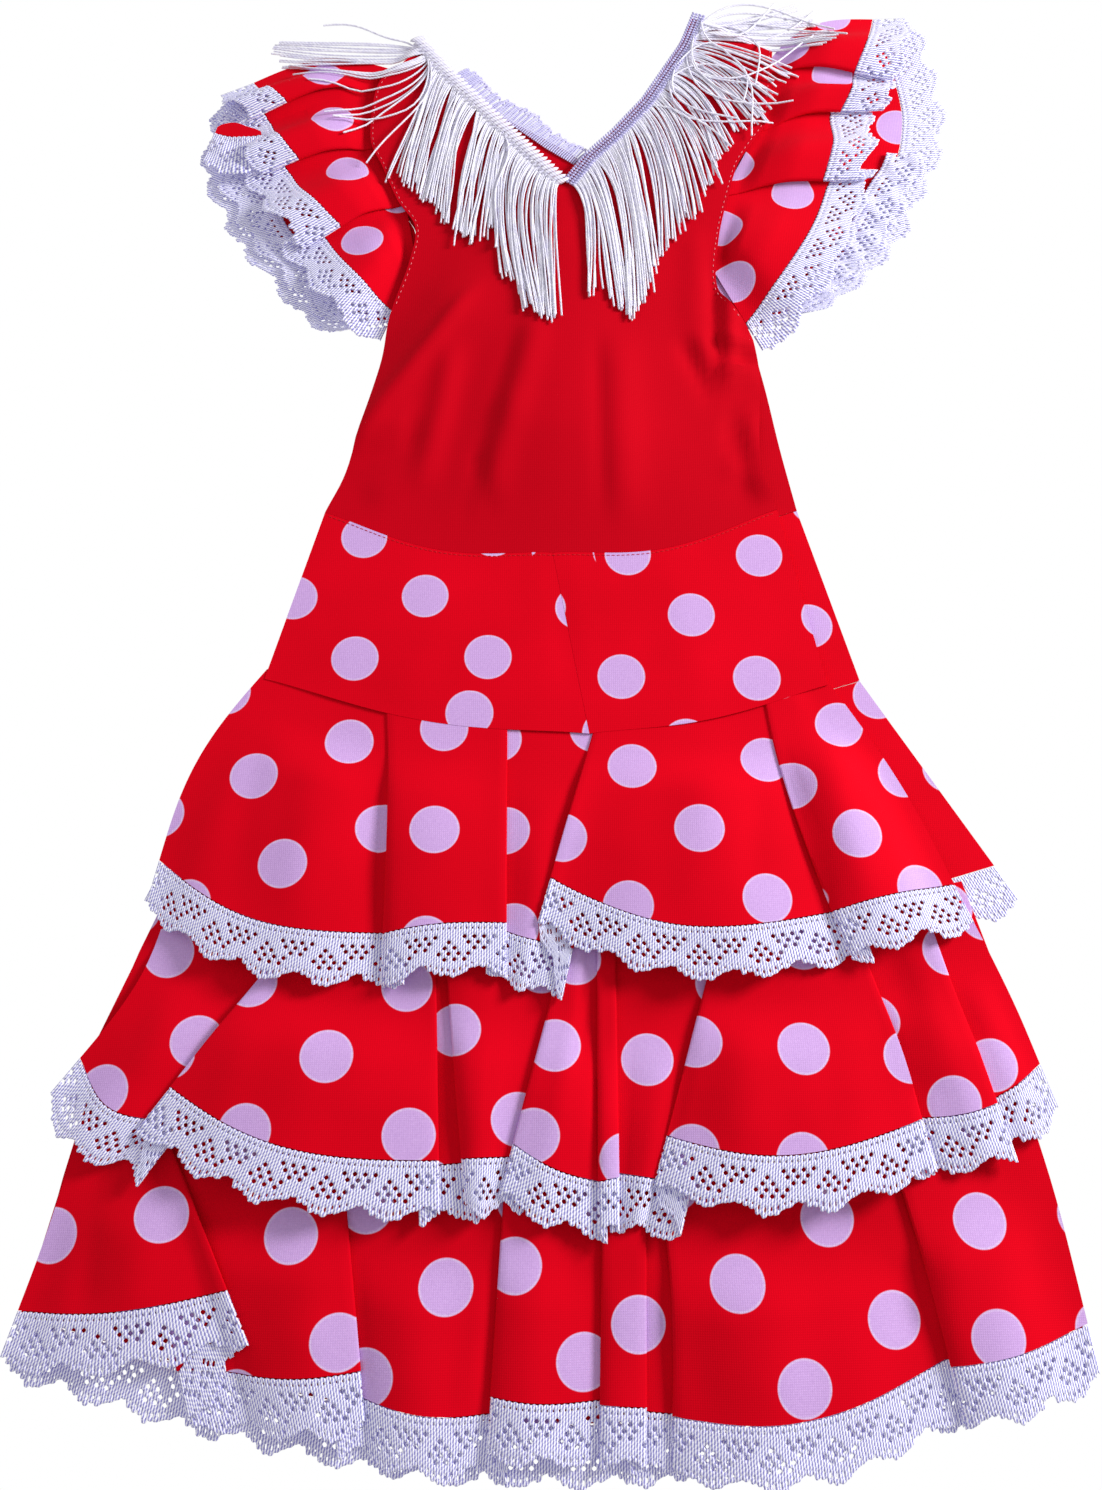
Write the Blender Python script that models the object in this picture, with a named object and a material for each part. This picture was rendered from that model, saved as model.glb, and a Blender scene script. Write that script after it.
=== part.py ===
"""Child's flamenco dress laid flat on a floor, front up, shoulders toward +Y. The tables are in millimetres."""

import math
from collections import namedtuple

import bpy
import numpy as np
from mathutils import Vector
from mathutils.bvhtree import BVHTree

MM = 0.001
WALL = 1.0
BACK_Z = 0.5
SEAM_GAP = 0.4
LAYER = 1.6
HOLD = 2.5
UNDER_HOLD = 16.0
SIDE_RISE = 26.0
LACE_WIDE = 30.0
SCALLOP = 30.0
SCALLOP_DEEP = 6.5
LACE_BACK_SHINGLE = 1.8
BACK_COLUMNS = 13
LACE_PARTS = 4
CLOTH_STEP = 33.0
LACE_STEP = 7.5
LOCK_SPACING = 3.7
BRAID_THICK = 1.2
BRAID_CLEAR = 0.35
BRAID_LOWEST = 5.6
BRAID_REACH = 5.0
LOCK_CLEAR = 1.6
LOCK_LOWEST = 0.9
LOCK_RINGS = 3
LOCK_TESTS = 11

Fold = namedtuple("Fold", "top_x top_y left_x left_y right_x right_y over depth bow sag swell waves")
RIGHT_OVER = "right"
LEFT_OVER = "left"
SIDE = "side"

# Heights of the middle of a front wall: on the back, on the lace of the flounce above, over the folded top of
# the flounce below in the middle and at the sides, at a sleeve's hem, and at the yoke's hem.
ON_BACK_Z = 1.9
ON_LACE_Z = 3.1
OVER_TOP_Z = 7.8
OVER_SIDE_Z = 4.8
SLEEVE_HEM_Z = 4.1
SLEEVE_PUFF = 0.8
YOKE_HEM_Z = 6.7
YOKE_RISE_END = 0.93
# Where between its top and its hem a piece starts and ends its rise.
RISE_FIRST = (0.1, 0.76)
RISE_LOWER = (0.4, 0.82)
RISE_SLEEVE = (0.12, 0.72)

# A fold's over says which of the two panels it parts lies on top.
# Its sag, swell and waves shape the panel on its right.
FLOUNCE_1 = [
    Fold(-161, -27, -212, -139, -212, -139, SIDE, 0, -9, -15, 1.5, 2),
    Fold(-92, -47, -88, -179, -88, -180, RIGHT_OVER, 13, 2, 2, 1.0, 0),
    Fold(-24, -57, -23, -174, -23, -178, LEFT_OVER, 11, 0, -1, 0.0, 0),
    Fold(27, -58, -1, -184, 1, -150, RIGHT_OVER, 14, 0, -18, 2.2, 2),
    Fold(122, -44, 150, -168, 151, -168, RIGHT_OVER, 13, -4, 1, 0.8, 0),
    Fold(157, -32, 219, -152, 219, -152, SIDE, 0, 4, 0, 0, 0),
]
FLOUNCE_2 = [
    Fold(-203, -150, -244, -244, -244, -244, SIDE, 0, 8, -9, 0.8, 0),
    Fold(-122, -160, -202, -275, -194, -259, RIGHT_OVER, 15, 0, -14, 1.8, 1),
    Fold(-62, -164, -56, -295, -56, -297, LEFT_OVER, 10, 0, 0, 0.0, 0),
    Fold(-58, -164, -44, -296, -44, -294, RIGHT_OVER, 9, 0, 0, 0.0, 0),
    Fold(14, -166, -18, -293, -18, -287, RIGHT_OVER, 12, 0, -3, 0.6, 0),
    Fold(26, -170, 25, -305, 25, -305, RIGHT_OVER, 6, 0, 0, 0.0, 0),
    Fold(35, -170, 35, -303, 35, -301, LEFT_OVER, 6, 0, 0, 0.6, 0),
    Fold(95, -166, 56, -304, 60, -283, RIGHT_OVER, 16, 0, -14, 2.0, 2),
    Fold(155, -158, 190, -275, 191, -274, LEFT_OVER, 13, 3, -2, 0.4, 0),
    Fold(198, -152, 229, -267, 231, -263, LEFT_OVER, 9, 0, -1, 0.4, 0),
    Fold(218, -150, 255, -247, 255, -247, SIDE, 0, 2, 0, 0, 0),
]
FLOUNCE_3 = [
    Fold(-237, -256, -263, -366, -263, -366, SIDE, 0, 2, -5, 1.0, 1),
    Fold(-206, -262, -159, -356, -162, -393, LEFT_OVER, 19, 0, -3, 0.4, 0),
    Fold(-107, -284, -92, -393, -91, -405, LEFT_OVER, 14, 0, -4, 1.0, 0),
    Fold(-21, -286, -30, -412, -28, -404, RIGHT_OVER, 12, 0, -2, 0.8, 0),
    Fold(28, -290, 25, -406, 25, -408, RIGHT_OVER, 9, 0, 0, 0.0, 0),
    Fold(49, -291, 47, -409, 47, -411, LEFT_OVER, 8, 0, 0, 0.0, 0),
    Fold(53, -291, 59, -412, 60, -413, RIGHT_OVER, 9, 4, -13, 2.2, 2),
    Fold(168, -272, 194, -388, 196, -391, RIGHT_OVER, 14, 2, -3, 1.0, 0),
    Fold(243, -254, 266, -372, 266, -372, SIDE, 0, 2, 0, 0, 0),
]
SLEEVE_LEFT = [
    Fold(-97, 396, -196, 388, -196, 388, SIDE, 0, -15, -2, 3.0, 0),
    Fold(-110, 381, -171, 364, -181, 351, LEFT_OVER, 11, -4, -3, 3.2, 0),
    Fold(-112, 335, -161, 320, -166, 312, LEFT_OVER, 12, -2, -4, 3.4, 0),
    Fold(-92, 291, -132, 270, -141, 263, LEFT_OVER, 11, -2, -4, 2.6, 0),
    Fold(-84, 246, -97, 211, -97, 211, SIDE, 0, 0, 0, 0, 0),
]
SLEEVE_RIGHT = [
    Fold(145, 404, 218, 441, 218, 441, SIDE, 0, 14, -2, 3.0, 0),
    Fold(143, 394, 201, 391, 200, 388, LEFT_OVER, 11, 3, -2, 3.0, 0),
    Fold(135, 347, 190, 359, 183, 356, LEFT_OVER, 12, 3, -3, 3.2, 0),
    Fold(111, 297, 175, 305, 178, 303, LEFT_OVER, 12, 2, -8, 3.2, 0),
    Fold(102, 244, 122, 203, 122, 203, SIDE, 0, 0, 0, 0, 0),
]

# Rows across the bodice: outer left, inner left, inner right and outer right point.
BODICE_FRONT_ROWS = [
    (-133, 72, 2, 46, 2, 46, 135, 74),
    (-120, 104, 3, 90, 3, 90, 126, 104),
    (-104, 168, 4, 150, 4, 150, 129, 165),
    (-99, 205, 5, 200, 5, 200, 122, 199),
    (-88, 243, 6, 243, 6, 243, 105, 225),
    (-85, 270, 7, 280, 7, 280, 107, 262),
    (-97, 291, 8, 309, 8, 309, 115, 297),
    (-108, 318, -16, 338, 24, 327, 121, 318),
    (-116, 338, -38, 363, 43, 348, 130, 334),
    (-115, 372, -61, 387, 67, 380, 141, 352),
    (-110, 388, -76, 405, 82, 408, 145, 378),
    (-100, 397, -84, 417, 96, 438, 148, 409),
]
BODICE_BACK_ROWS = [
    (-133, 72, 2, 46, 2, 46, 147, 74),
    (-120, 104, 4, 90, 4, 90, 139, 115),
    (-104, 168, 7, 150, 7, 150, 131, 162),
    (-99, 205, 10, 200, 10, 200, 122, 199),
    (-88, 243, 13, 243, 13, 243, 105, 225),
    (-85, 270, 16, 280, 16, 280, 107, 262),
    (-97, 291, 18, 304, 18, 304, 115, 297),
    (-108, 318, 20, 324, 20, 324, 121, 318),
    (-116, 338, -8, 345, 34, 338, 130, 334),
    (-115, 372, -36, 363, 60, 370, 141, 352),
    (-110, 388, -60, 382, 82, 402, 145, 378),
    (-98, 402, -78, 404, 99, 434, 148, 405),
]
V_ROW_FRONT = 6
V_ROW_BACK = 7
HEM_DIP = -11.0
SECOND_ROW_DIP = 0.45
DIP_POWER = 1.3
NEAR_SIDE = 0.2
FRONT_CLIMB = 0.6
BACK_CLIMB = 0.3
CHEST_FOLD_HIGH = 1.1
CHEST_FOLD_APART = 17.0
CHEST_FOLD_START = 0.8
CHEST_FOLD_ROWS = 6
HALF_COLUMNS = 6
# Height of the bodice front's wall centre: at the side, at a fifth in, and along the middle.
FRONT_HEIGHTS = [
    (ON_BACK_Z, ON_BACK_Z, ON_BACK_Z),
    (ON_BACK_Z, 2.8, 3.2),
    (2.0, 3.6, 4.4),
    (4.6, 5.0, 4.8),
    (6.6, 5.8, 4.8),
    (6.6, 6.0, 4.8),
    (6.6, 6.2, 5.0),
    (6.6, 6.2, 5.0),
    (6.6, 6.2, 5.0),
    (6.6, 6.2, 5.2),
    (6.6, 6.2, 5.4),
    (6.6, 6.2, 5.6),
]
BACK_LIFT = 1.9
BACK_LIFT_ROWS = (3, 5)

# Seam points of the under half of each sleeve, from the shoulder to the armpit.
UNDER_SEAM_LEFT = [
    (-188, 382), (-197, 362), (-200, 338), (-196, 315), (-184, 292),
    (-172, 268), (-154, 248), (-133, 222), (-108, 203),
]
UNDER_SEAM_RIGHT = [
    (222, 430), (227, 405), (232, 362), (225, 325), (211, 300),
    (200, 275), (182, 250), (160, 225), (136, 204),
]
ARMPIT_ROW = 3

# Yoke halves: the ends of the side and of the centre seam, how far the hem sags, and the hem's height at the side.
YOKE_LEFT = dict(outer=(-133, 72, -162, -33), inner=(2, 46, 22.5, -66), sag=-9, seam_side=-1, side_z=3.3)
YOKE_RIGHT = dict(outer=(135, 74, 158, -37), inner=(2, 46, 22.5, -66), sag=-6, seam_side=1, side_z=6.5)
YOKE_BACK_BOTTOM = (-162, -31, 177, -34)
YOKE_BACK_SAG = -34.0

# Backs of the flounces: left top, left hem, right hem, right top, and how far the hem sags.
BACK_1 = dict(left=(-162, -31, -210, -139), right=(177, -34, 243, -141), top_sag=-34.0, sag=-44.0)
BACK_2 = dict(left=(-203, -148, -242, -245), right=(224, -150, 253, -249), top_sag=-30.0, sag=-50.0)
BACK_3 = dict(left=(-237, -256, -262, -368), right=(243, -254, 264, -374), top_sag=-34.0, sag=-46.0)

# Fringe locks: how far along the braid each root lies, its tip, and how much it bows aside.
FRINGE_LEFT_TIPS = [
    (0.00, -170, 424, -5),
    (0.04, -183, 407, 5),
    (0.09, -160, 386, 6),
    (0.14, -138, 362, 7),
    (0.19, -129, 337, 6),
    (0.25, -113, 311, 5),
    (0.31, -91, 301, 4),
    (0.42, -79, 286, 3),
    (0.52, -64, 270, 2),
    (0.63, -45, 258, 3),
    (0.68, -32, 240, 0),
    (0.74, -25, 231, -3),
    (0.80, -12, 206, -6),
    (0.90, -1, 197, -2),
    (1.00, 8, 194, 0),
]
FRINGE_RIGHT_TIPS = [
    (0.00, 20, 209, 0),
    (0.08, 30, 209, 3),
    (0.14, 42, 205, 4),
    (0.30, 59, 210, 3),
    (0.37, 66, 228, 0),
    (0.46, 76, 247, 2),
    (0.55, 95, 278, 4),
    (0.62, 107, 318, 5),
    (0.70, 128, 342, 6),
    (0.78, 150, 379, 6),
    (0.86, 172, 394, 5),
    (0.94, 197, 409, 4),
    (1.00, 178, 438, -5),
]
BRAID_LEFT = [(-83, 416), (-61, 387), (-38, 363), (-16, 338), (6, 313)]
BRAID_RIGHT = [(11, 313), (24, 327), (43, 348), (67, 380), (82, 408), (95, 436)]
BRAID_BACK = [(-76, 404), (-60, 384), (-36, 365), (-8, 347), (19, 326)]
BRAID_LEFT_WIDE = 5.0
BRAID_RIGHT_WIDE = 8.0
BRAID_BACK_WIDE = 4.0
LOCK_ROOT_SHARE = 0.62
LOCK_TIP_WIDE = 0.9
LOCK_THICK = 0.9
# A back lock goes out past the neck edge, turns under the back and hangs down there.
BACK_LOCK_OUT = 7.0
BACK_LOCK_IN = 3.0
BACK_LOCK_LONG = 38.0
BACK_LOCK_UNEVEN = 8.0
BACK_LOCK_LEAN = 0.15
BACK_LOCK_WIDE = 1.0
BACK_LOCK_TIP = 0.8
BACK_LOCK_TURN_Z = 1.6
BACK_LOCK_Z = 0.65


def smooth(value):
    """0 below 0, 1 above 1, and an even curve between."""
    value = min(max(value, 0.0), 1.0)
    return value * value * (3.0 - 2.0 * value)


def between(low, high, share):
    return low + (high - low) * share


def rise_at(fall, stretch):
    """How much of its rise a piece has made at a share of its length."""
    start, end = stretch
    return smooth((fall - start) / (end - start))


def unit(vector):
    return vector / max(np.hypot(vector[0], vector[1]), 1e-9)


def fold_point(fold, side, fall):
    """A point of a fold, at a share of the way from its top to its hem."""
    top = np.array([fold.top_x, fold.top_y], float)
    hem = np.array([fold.left_x, fold.left_y] if side == "left" else [fold.right_x, fold.right_y], float)
    along = hem - top
    across = unit(np.array([-along[1], along[0]]))
    return top + along * fall + across * fold.bow * math.sin(math.pi * fall)


def panel_levels(before, after, width, across):
    """Height in layers across a panel: held at 2 over the pleats that it covers."""
    first = 2.0 if before.over == RIGHT_OVER else 0.0
    last = 2.0 if after.over == LEFT_OVER else 0.0
    under = min(UNDER_HOLD, 0.25 * width)
    start = cover(before, width) if first else under
    end = width - cover(after, width) if last else width - under
    share = (across - start) / max(end - start, 1e-6)
    return first + (last - first) * smooth(share)


def cover(fold, width):
    """How far a panel's held part reaches in from a fold."""
    return min(fold.depth, 0.42 * width) + min(HOLD, 0.06 * width)


def panel_stops(before, after, width, step):
    """Places across a panel where a column of points goes."""
    first = cover(before, width) if before.over == RIGHT_OVER else 0.0
    last = width - cover(after, width) if after.over == LEFT_OVER else width
    count = max(1, round(width / step), 4 * before.waves - 1)
    inner = [first + (last - first) * k / (count + 1) for k in range(1, count + 1)]
    return ([first] if first else []) + inner + ([last] if last < width else [])


def pleat_row(folds, fall, step):
    """One row of points across a pleated piece, as place, layer height, swell, normal and distance from the sides."""
    places, layers, swells, normals, edges = [], [], [], [], []
    turn = LAYER / 2

    def add(place, layer, swell, toward, side, up, edge):
        places.append(place)
        layers.append(layer)
        swells.append(swell)
        normals.append((toward[0] * side, toward[1] * side, up))
        edges.append(edge)

    ends = [(fold_point(a, "right", fall), fold_point(b, "left", fall)) for a, b in zip(folds, folds[1:])]
    ways = [unit(end - start) for start, end in ends]
    hem_widths = [
        np.hypot(b.left_x - a.right_x, b.left_y - a.right_y) for a, b in zip(folds, folds[1:])
    ]
    far = 1e3
    add(ends[0][0], 0.0, 0.0, ways[0], 0.0, 1.0, 0.0)
    for i, (start, end) in enumerate(ends):
        before, after = folds[i], folds[i + 1]
        width = np.hypot(*(end - start))
        stops = [stop / hem_widths[i] for stop in panel_stops(before, after, hem_widths[i], step)]
        down = unit(fold_point(before, "right", 1.0) - fold_point(before, "right", 0.0))
        for share in stops:
            at = start + (end - start) * share + down * -before.sag * math.sin(math.pi * share) * fall**1.5
            swell = before.swell * math.sin(math.pi * share) ** 2
            if before.waves:
                swell *= 0.55 - 0.45 * math.cos(2 * math.pi * before.waves * share)
            edge = far
            if before.over == SIDE:
                edge = width * share
            if after.over == SIDE:
                edge = min(edge, width * (1 - share))
            add(at, panel_levels(before, after, width, width * share), swell, ways[i], 0.0, 1.0, edge)
        if after.over == RIGHT_OVER:
            over_width = np.hypot(*(ends[i + 1][1] - ends[i + 1][0]))
            deep = min(after.depth, 0.42 * over_width)
            inner = end + ways[i] * deep
            outer = ends[i + 1][0]
            add(end, 0.0, 0.0, ways[i], 0.0, 1.0, far)
            add(inner - ways[i] * turn, 0.0, 0.0, ways[i], 0.0, 1.0, far)
            add(inner, 0.5, 0.0, ways[i], -1.0, 0.0, far)
            add(inner - ways[i] * turn, 1.0, 0.0, ways[i], 0.0, -1.0, far)
            add(outer + ways[i + 1] * turn, 1.0, 0.0, ways[i + 1], 0.0, -1.0, far)
            add(outer, 1.5, 0.0, ways[i + 1], -1.0, 0.0, far)
            add(outer + ways[i + 1] * turn, 2.0, 0.0, ways[i + 1], 0.0, 1.0, far)
        elif after.over == LEFT_OVER:
            deep = min(after.depth, 0.42 * width)
            start_next = ends[i + 1][0]
            inner = start_next - ways[i + 1] * deep
            add(end - ways[i] * turn, 2.0, 0.0, ways[i], 0.0, 1.0, far)
            add(end, 1.5, 0.0, ways[i], 1.0, 0.0, far)
            add(end - ways[i] * turn, 1.0, 0.0, ways[i], 0.0, -1.0, far)
            add(inner + ways[i + 1] * turn, 1.0, 0.0, ways[i + 1], 0.0, -1.0, far)
            add(inner, 0.5, 0.0, ways[i + 1], 1.0, 0.0, far)
            add(inner + ways[i + 1] * turn, 0.0, 0.0, ways[i + 1], 0.0, 1.0, far)
            add(start_next, 0.0, 0.0, ways[i + 1], 0.0, 1.0, far)
        else:
            add(end, 0.0, 0.0, ways[i], 0.0, 1.0, 0.0)
    return np.array(places), np.array(layers), np.array(swells), np.array(normals), np.array(edges)


def heights(row, base, side_base, layer, swell_share):
    """Heights of a row: low at the sides, and base plus its layers and swell elsewhere."""
    _, layers, swells, _, edges = row
    out = []
    for level, swell, edge in zip(layers, swells, edges):
        share = smooth(edge / SIDE_RISE)
        out.append(side_base + (base - side_base + level * layer + swell * swell_share) * share)
    return np.array(out)


def stack(rows_xy, rows_z, rows_normal):
    """Rows of points as one list, with their normals, and the quads between them."""
    points = np.concatenate([np.column_stack([xy, z]) for xy, z in zip(rows_xy, rows_z)])
    normals = np.concatenate(rows_normal)
    return points, normals, grid_quads(len(rows_xy), len(rows_xy[0]))


def grid_quads(rows, columns, start=0):
    quads = []
    for i in range(rows - 1):
        for j in range(columns - 1):
            a = start + i * columns + j
            quads.append((a, a + 1, a + 1 + columns, a + columns))
    return quads


def signed_volume(points, faces):
    total = 0.0
    for face in faces:
        for k in range(1, len(face) - 1):
            total += np.dot(points[face[0]], np.cross(points[face[k]], points[face[k + 1]]))
    return total / 6


def make_object(name, points, faces, material):
    """A named mesh object from points in millimetres, facing out."""
    if signed_volume(points, faces) < 0:
        faces = [tuple(reversed(face)) for face in faces]
    mesh = bpy.data.meshes.new(name)
    mesh.from_pydata([tuple(point * MM) for point in points], [], faces)
    mesh.update()
    mesh.materials.append(material)
    made = bpy.data.objects.new(name, mesh)
    bpy.context.scene.collection.objects.link(made)
    return made


def rim_edges(faces):
    edges = {(a, b) for face in faces for a, b in zip(face, face[1:] + face[:1])}
    return sorted((a, b) for a, b in edges if (b, a) not in edges)


def make_wall(name, points, normals, faces, material, thick=WALL):
    """A closed wall: the points moved half its thickness each way, and its rim closed."""
    count = len(points)
    both = np.concatenate([points + normals * thick / 2, points - normals * thick / 2])
    walls = faces + [tuple(count + k for k in reversed(face)) for face in faces]
    walls += [(b, a, a + count, b + count) for a, b in rim_edges(faces)]
    return make_object(name, both, walls, material)


def cloth(name, color, rough):
    """A plain dyed cloth."""
    material = bpy.data.materials.new(name)
    material.use_nodes = True
    shader = material.node_tree.nodes["Principled BSDF"]
    shader.inputs["Base Color"].default_value = (*color, 1.0)
    shader.inputs["Roughness"].default_value = rough
    material.diffuse_color = (*color, 1.0)
    return material


def make_flounce(name, folds, falls, profile, cloth_material, lace_material):
    """A pleated flounce and the lace that follows its hem."""
    rows = [pleat_row(folds, fall, CLOTH_STEP) for fall in falls]
    levels = [heights(row, *profile(fall)) for row, fall in zip(rows, falls)]
    points, normals, faces = stack([row[0] for row in rows], levels, [row[3] for row in rows])
    made = make_wall(name[0], points, normals, faces, cloth_material)
    hem = pleat_row(folds, 1.0, LACE_STEP)
    above = pleat_row(folds, 0.9, LACE_STEP)
    level = heights(hem, *profile(1.0))
    falls_to = np.array([unit(a - b) for a, b in zip(hem[0], above[0])])
    edge = make_lace(name[1], hem[0], falls_to, level, hem[3], lace_material)
    return made, edge


def make_lace(name, seam, falls_to, level, normals, material):
    """Lace beyond a seam, with a scalloped free edge."""
    along = np.concatenate([[0.0], np.cumsum(np.hypot(*np.diff(seam, axis=0).T))])
    reach = LACE_WIDE - SCALLOP_DEEP * (0.5 + 0.5 * np.cos(2 * np.pi * along / SCALLOP))
    near = seam + falls_to * SEAM_GAP
    far = seam + falls_to * reach[:, None]
    points, both, faces = stack([near, far], [level, level], [normals, normals])
    return make_wall(name, points, both, faces, material)


def half_columns(outer, inner, dip):
    """Points from a row's outer end to its inner end, dipping between."""
    shares = np.linspace(0, 1, HALF_COLUMNS)
    line = outer + (inner - outer) * shares[:, None]
    line[:, 1] += dip * np.sin(np.pi * shares) ** DIP_POWER
    return line


def half_heights(heights_row, climb=FRONT_CLIMB):
    """Heights from a row's outer end to its inner end; climb is the share over which the middle's is reached."""
    side, near, middle = heights_row
    shares = np.linspace(0, 1, HALF_COLUMNS)
    out = []
    for share in shares:
        if share < NEAR_SIDE:
            out.append(between(side, near, share / NEAR_SIDE))
        else:
            out.append(between(near, middle, smooth((share - NEAR_SIDE) / climb)))
    return np.array(out)


def make_bodice(name, rows, v_row, height_rows, climb, material, folds):
    """A bodice in two halves that are one up to the point of the V."""
    points = []
    left_index, right_index = [], []
    for i, row in enumerate(rows):
        dip = HEM_DIP * (1.0, SECOND_ROW_DIP)[i] if i < 2 else 0.0
        pairs = np.array(row, float).reshape(4, 2)
        left = half_columns(pairs[0], pairs[1], dip)
        right = half_columns(pairs[3], pairs[2], dip)
        level = half_heights(height_rows[i], climb)
        for line, index, side in ((left, left_index, -1), (right, right_index, 1)):
            found = []
            for j, (place, height) in enumerate(zip(line, level)):
                if side == 1 and j == HALF_COLUMNS - 1 and i <= v_row:
                    found.append(left_index[-1][-1])
                    continue
                found.append(len(points))
                points.append((place[0], place[1], height + folds(place, i)))
            index.append(found)
    faces = []
    for index, turned in ((left_index, False), (right_index, True)):
        for lower, upper in zip(index, index[1:]):
            for j in range(HALF_COLUMNS - 1):
                quad = (lower[j], lower[j + 1], upper[j + 1], upper[j])
                faces.append(tuple(reversed(quad)) if turned else quad)
    points = np.array(points, float)
    return make_wall(name, points, up_normals(len(points)), faces, material)


def up_normals(count):
    return np.tile((0.0, 0.0, 1.0), (count, 1))


def chest_folds(place, row):
    """Soft upright folds in the lower half of the bodice."""
    share = math.sin(math.pi * min(row / CHEST_FOLD_ROWS, 1.0))
    return CHEST_FOLD_HIGH * share * math.sin(place[0] / CHEST_FOLD_APART + CHEST_FOLD_START) ** 2


def no_folds(place, row):
    return 0.0


def make_yoke_half(name, shape, material):
    """Half of the hip yoke, from the bodice hem to over the first flounce."""
    falls = (0.0, 0.3, 0.6, 0.8, YOKE_RISE_END, 1.0)
    outer_top, outer_low = np.array(shape["outer"], float).reshape(2, 2)
    inner_top, inner_low = np.array(shape["inner"], float).reshape(2, 2)
    rows, levels = [], []
    for fall in falls:
        side = outer_top + (outer_low - outer_top) * fall
        middle = inner_top + (inner_low - inner_top) * fall
        dip = HEM_DIP * (1 - fall) + shape["sag"] * fall
        line = half_columns(side, middle, dip)
        line -= (0.0, SEAM_GAP)
        line[-1, 0] += shape["seam_side"] * SEAM_GAP / 2
        rows.append(line)
        rise = rise_at(fall, (0.0, YOKE_RISE_END))
        side_z = between(ON_BACK_Z, shape["side_z"], rise)
        middle_z = between(ON_BACK_Z, YOKE_HEM_Z, rise)
        levels.append(half_heights((side_z, middle_z, middle_z)))
    points, normals, faces = stack(rows, levels, [up_normals(HALF_COLUMNS)] * len(rows))
    return make_wall(name, points, normals, faces, material)


def curve_row(left, right, sag, columns):
    shares = np.linspace(0, 1, columns)
    line = np.array(left, float) + (np.array(right, float) - np.array(left, float)) * shares[:, None]
    line[:, 1] += sag * np.sin(np.pi * shares)
    return line


def row_between(row, columns):
    """Points evenly spread in number between the points of a row, on its straight parts."""
    out = []
    for k in range(columns):
        at = k * (len(row) - 1) / (columns - 1)
        first = min(int(at), len(row) - 2)
        out.append(row[first] + (row[first + 1] - row[first]) * (at - first))
    return np.array(out)


def make_back_flounce(names, shape, shingled, materials):
    """The plain back of a flounce, with its lace; a shingled one starts on top of the lace above."""
    columns = BACK_COLUMNS
    falls = (0.0, 0.4, 0.5, 1.0) if shingled else (0.0, 0.5, 1.0)
    left_top, left_low = np.array(shape["left"], float).reshape(2, 2)
    right_top, right_low = np.array(shape["right"], float).reshape(2, 2)
    rows, levels = [], []
    for fall in falls:
        left = left_top + (left_low - left_top) * fall
        right = right_top + (right_low - right_top) * fall
        sag = shape["top_sag"] * (1 - fall) + shape["sag"] * fall
        rows.append(curve_row(left, right, sag, columns))
        lift = LACE_BACK_SHINGLE - BACK_Z if shingled and fall < 0.45 else 0.0
        levels.append(np.full(columns, BACK_Z + lift))
    points, normals, faces = stack(rows, levels, [up_normals(columns)] * len(rows))
    back = make_wall(names[0], points, normals, faces, materials[0])
    count = LACE_PARTS * (columns - 1) + 1
    fine = curve_row(left_low, right_low, shape["sag"], count)
    higher = curve_row(left_top, right_top, shape["top_sag"], count)
    seam = row_between(rows[-1], count)
    falls_to = np.array([unit(a - b) for a, b in zip(fine, higher)])
    make_lace(names[1], seam, falls_to, np.full(count, BACK_Z), up_normals(count), materials[1])
    return back


def make_under_sleeve(names, armhole, seam, materials):
    """The under half of a sleeve, flat on the floor, with its lace."""
    armhole, seam = np.array(armhole, float), np.array(seam, float)
    away = np.array([unit(b - a) for a, b in zip(armhole, seam)])
    near = armhole + away * SEAM_GAP
    count = len(near)
    rows = [near + (seam - near) * share for share in (0.0, 0.5, 1.0)]
    points, normals, faces = stack(rows, [np.full(count, BACK_Z)] * 3, [up_normals(count)] * 3)
    made = make_wall(names[0], points, normals, faces, materials[0])
    many = LACE_PARTS * (count - 1) + 1
    ways = np.array([unit(way) for way in row_between(away, many)])
    make_lace(names[1], row_between(seam, many), ways, np.full(many, BACK_Z), up_normals(many), materials[1])
    return made


def along_line(points, share):
    """A point at a share of a line's length, and the line's direction there."""
    points = np.array(points, float)
    steps = np.hypot(*np.diff(points, axis=0).T)
    want = share * steps.sum()
    for start, end, step in zip(points, points[1:], steps):
        if want <= step + 1e-6:
            return start + (end - start) * want / step, unit(end - start)
        want -= step
    return points[-1], unit(points[-1] - points[-2])


def table_at(table, share):
    """The table's row at a share, between the rows on each side."""
    for low, high in zip(table, table[1:]):
        if share <= high[0] + 1e-9:
            part = (share - low[0]) / (high[0] - low[0])
            return [a + (b - a) * part for a, b in zip(low[1:], high[1:])]
    return list(table[-1][1:])


def height_field(objects):
    """The upper surfaces of some objects, to lay other things on."""
    points, faces = [], []
    for thing in objects:
        start = len(points)
        points += [vertex.co.copy() for vertex in thing.data.vertices]
        faces += [tuple(start + k for k in polygon.vertices) for polygon in thing.data.polygons]
    tree = BVHTree.FromPolygons(points, faces)

    def top(x, y, lowest):
        hit = tree.ray_cast(Vector((x * MM, y * MM, 0.1)), Vector((0, 0, -1)))
        return lowest if hit[0] is None else max(hit[0].z / MM, lowest)

    return top


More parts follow.
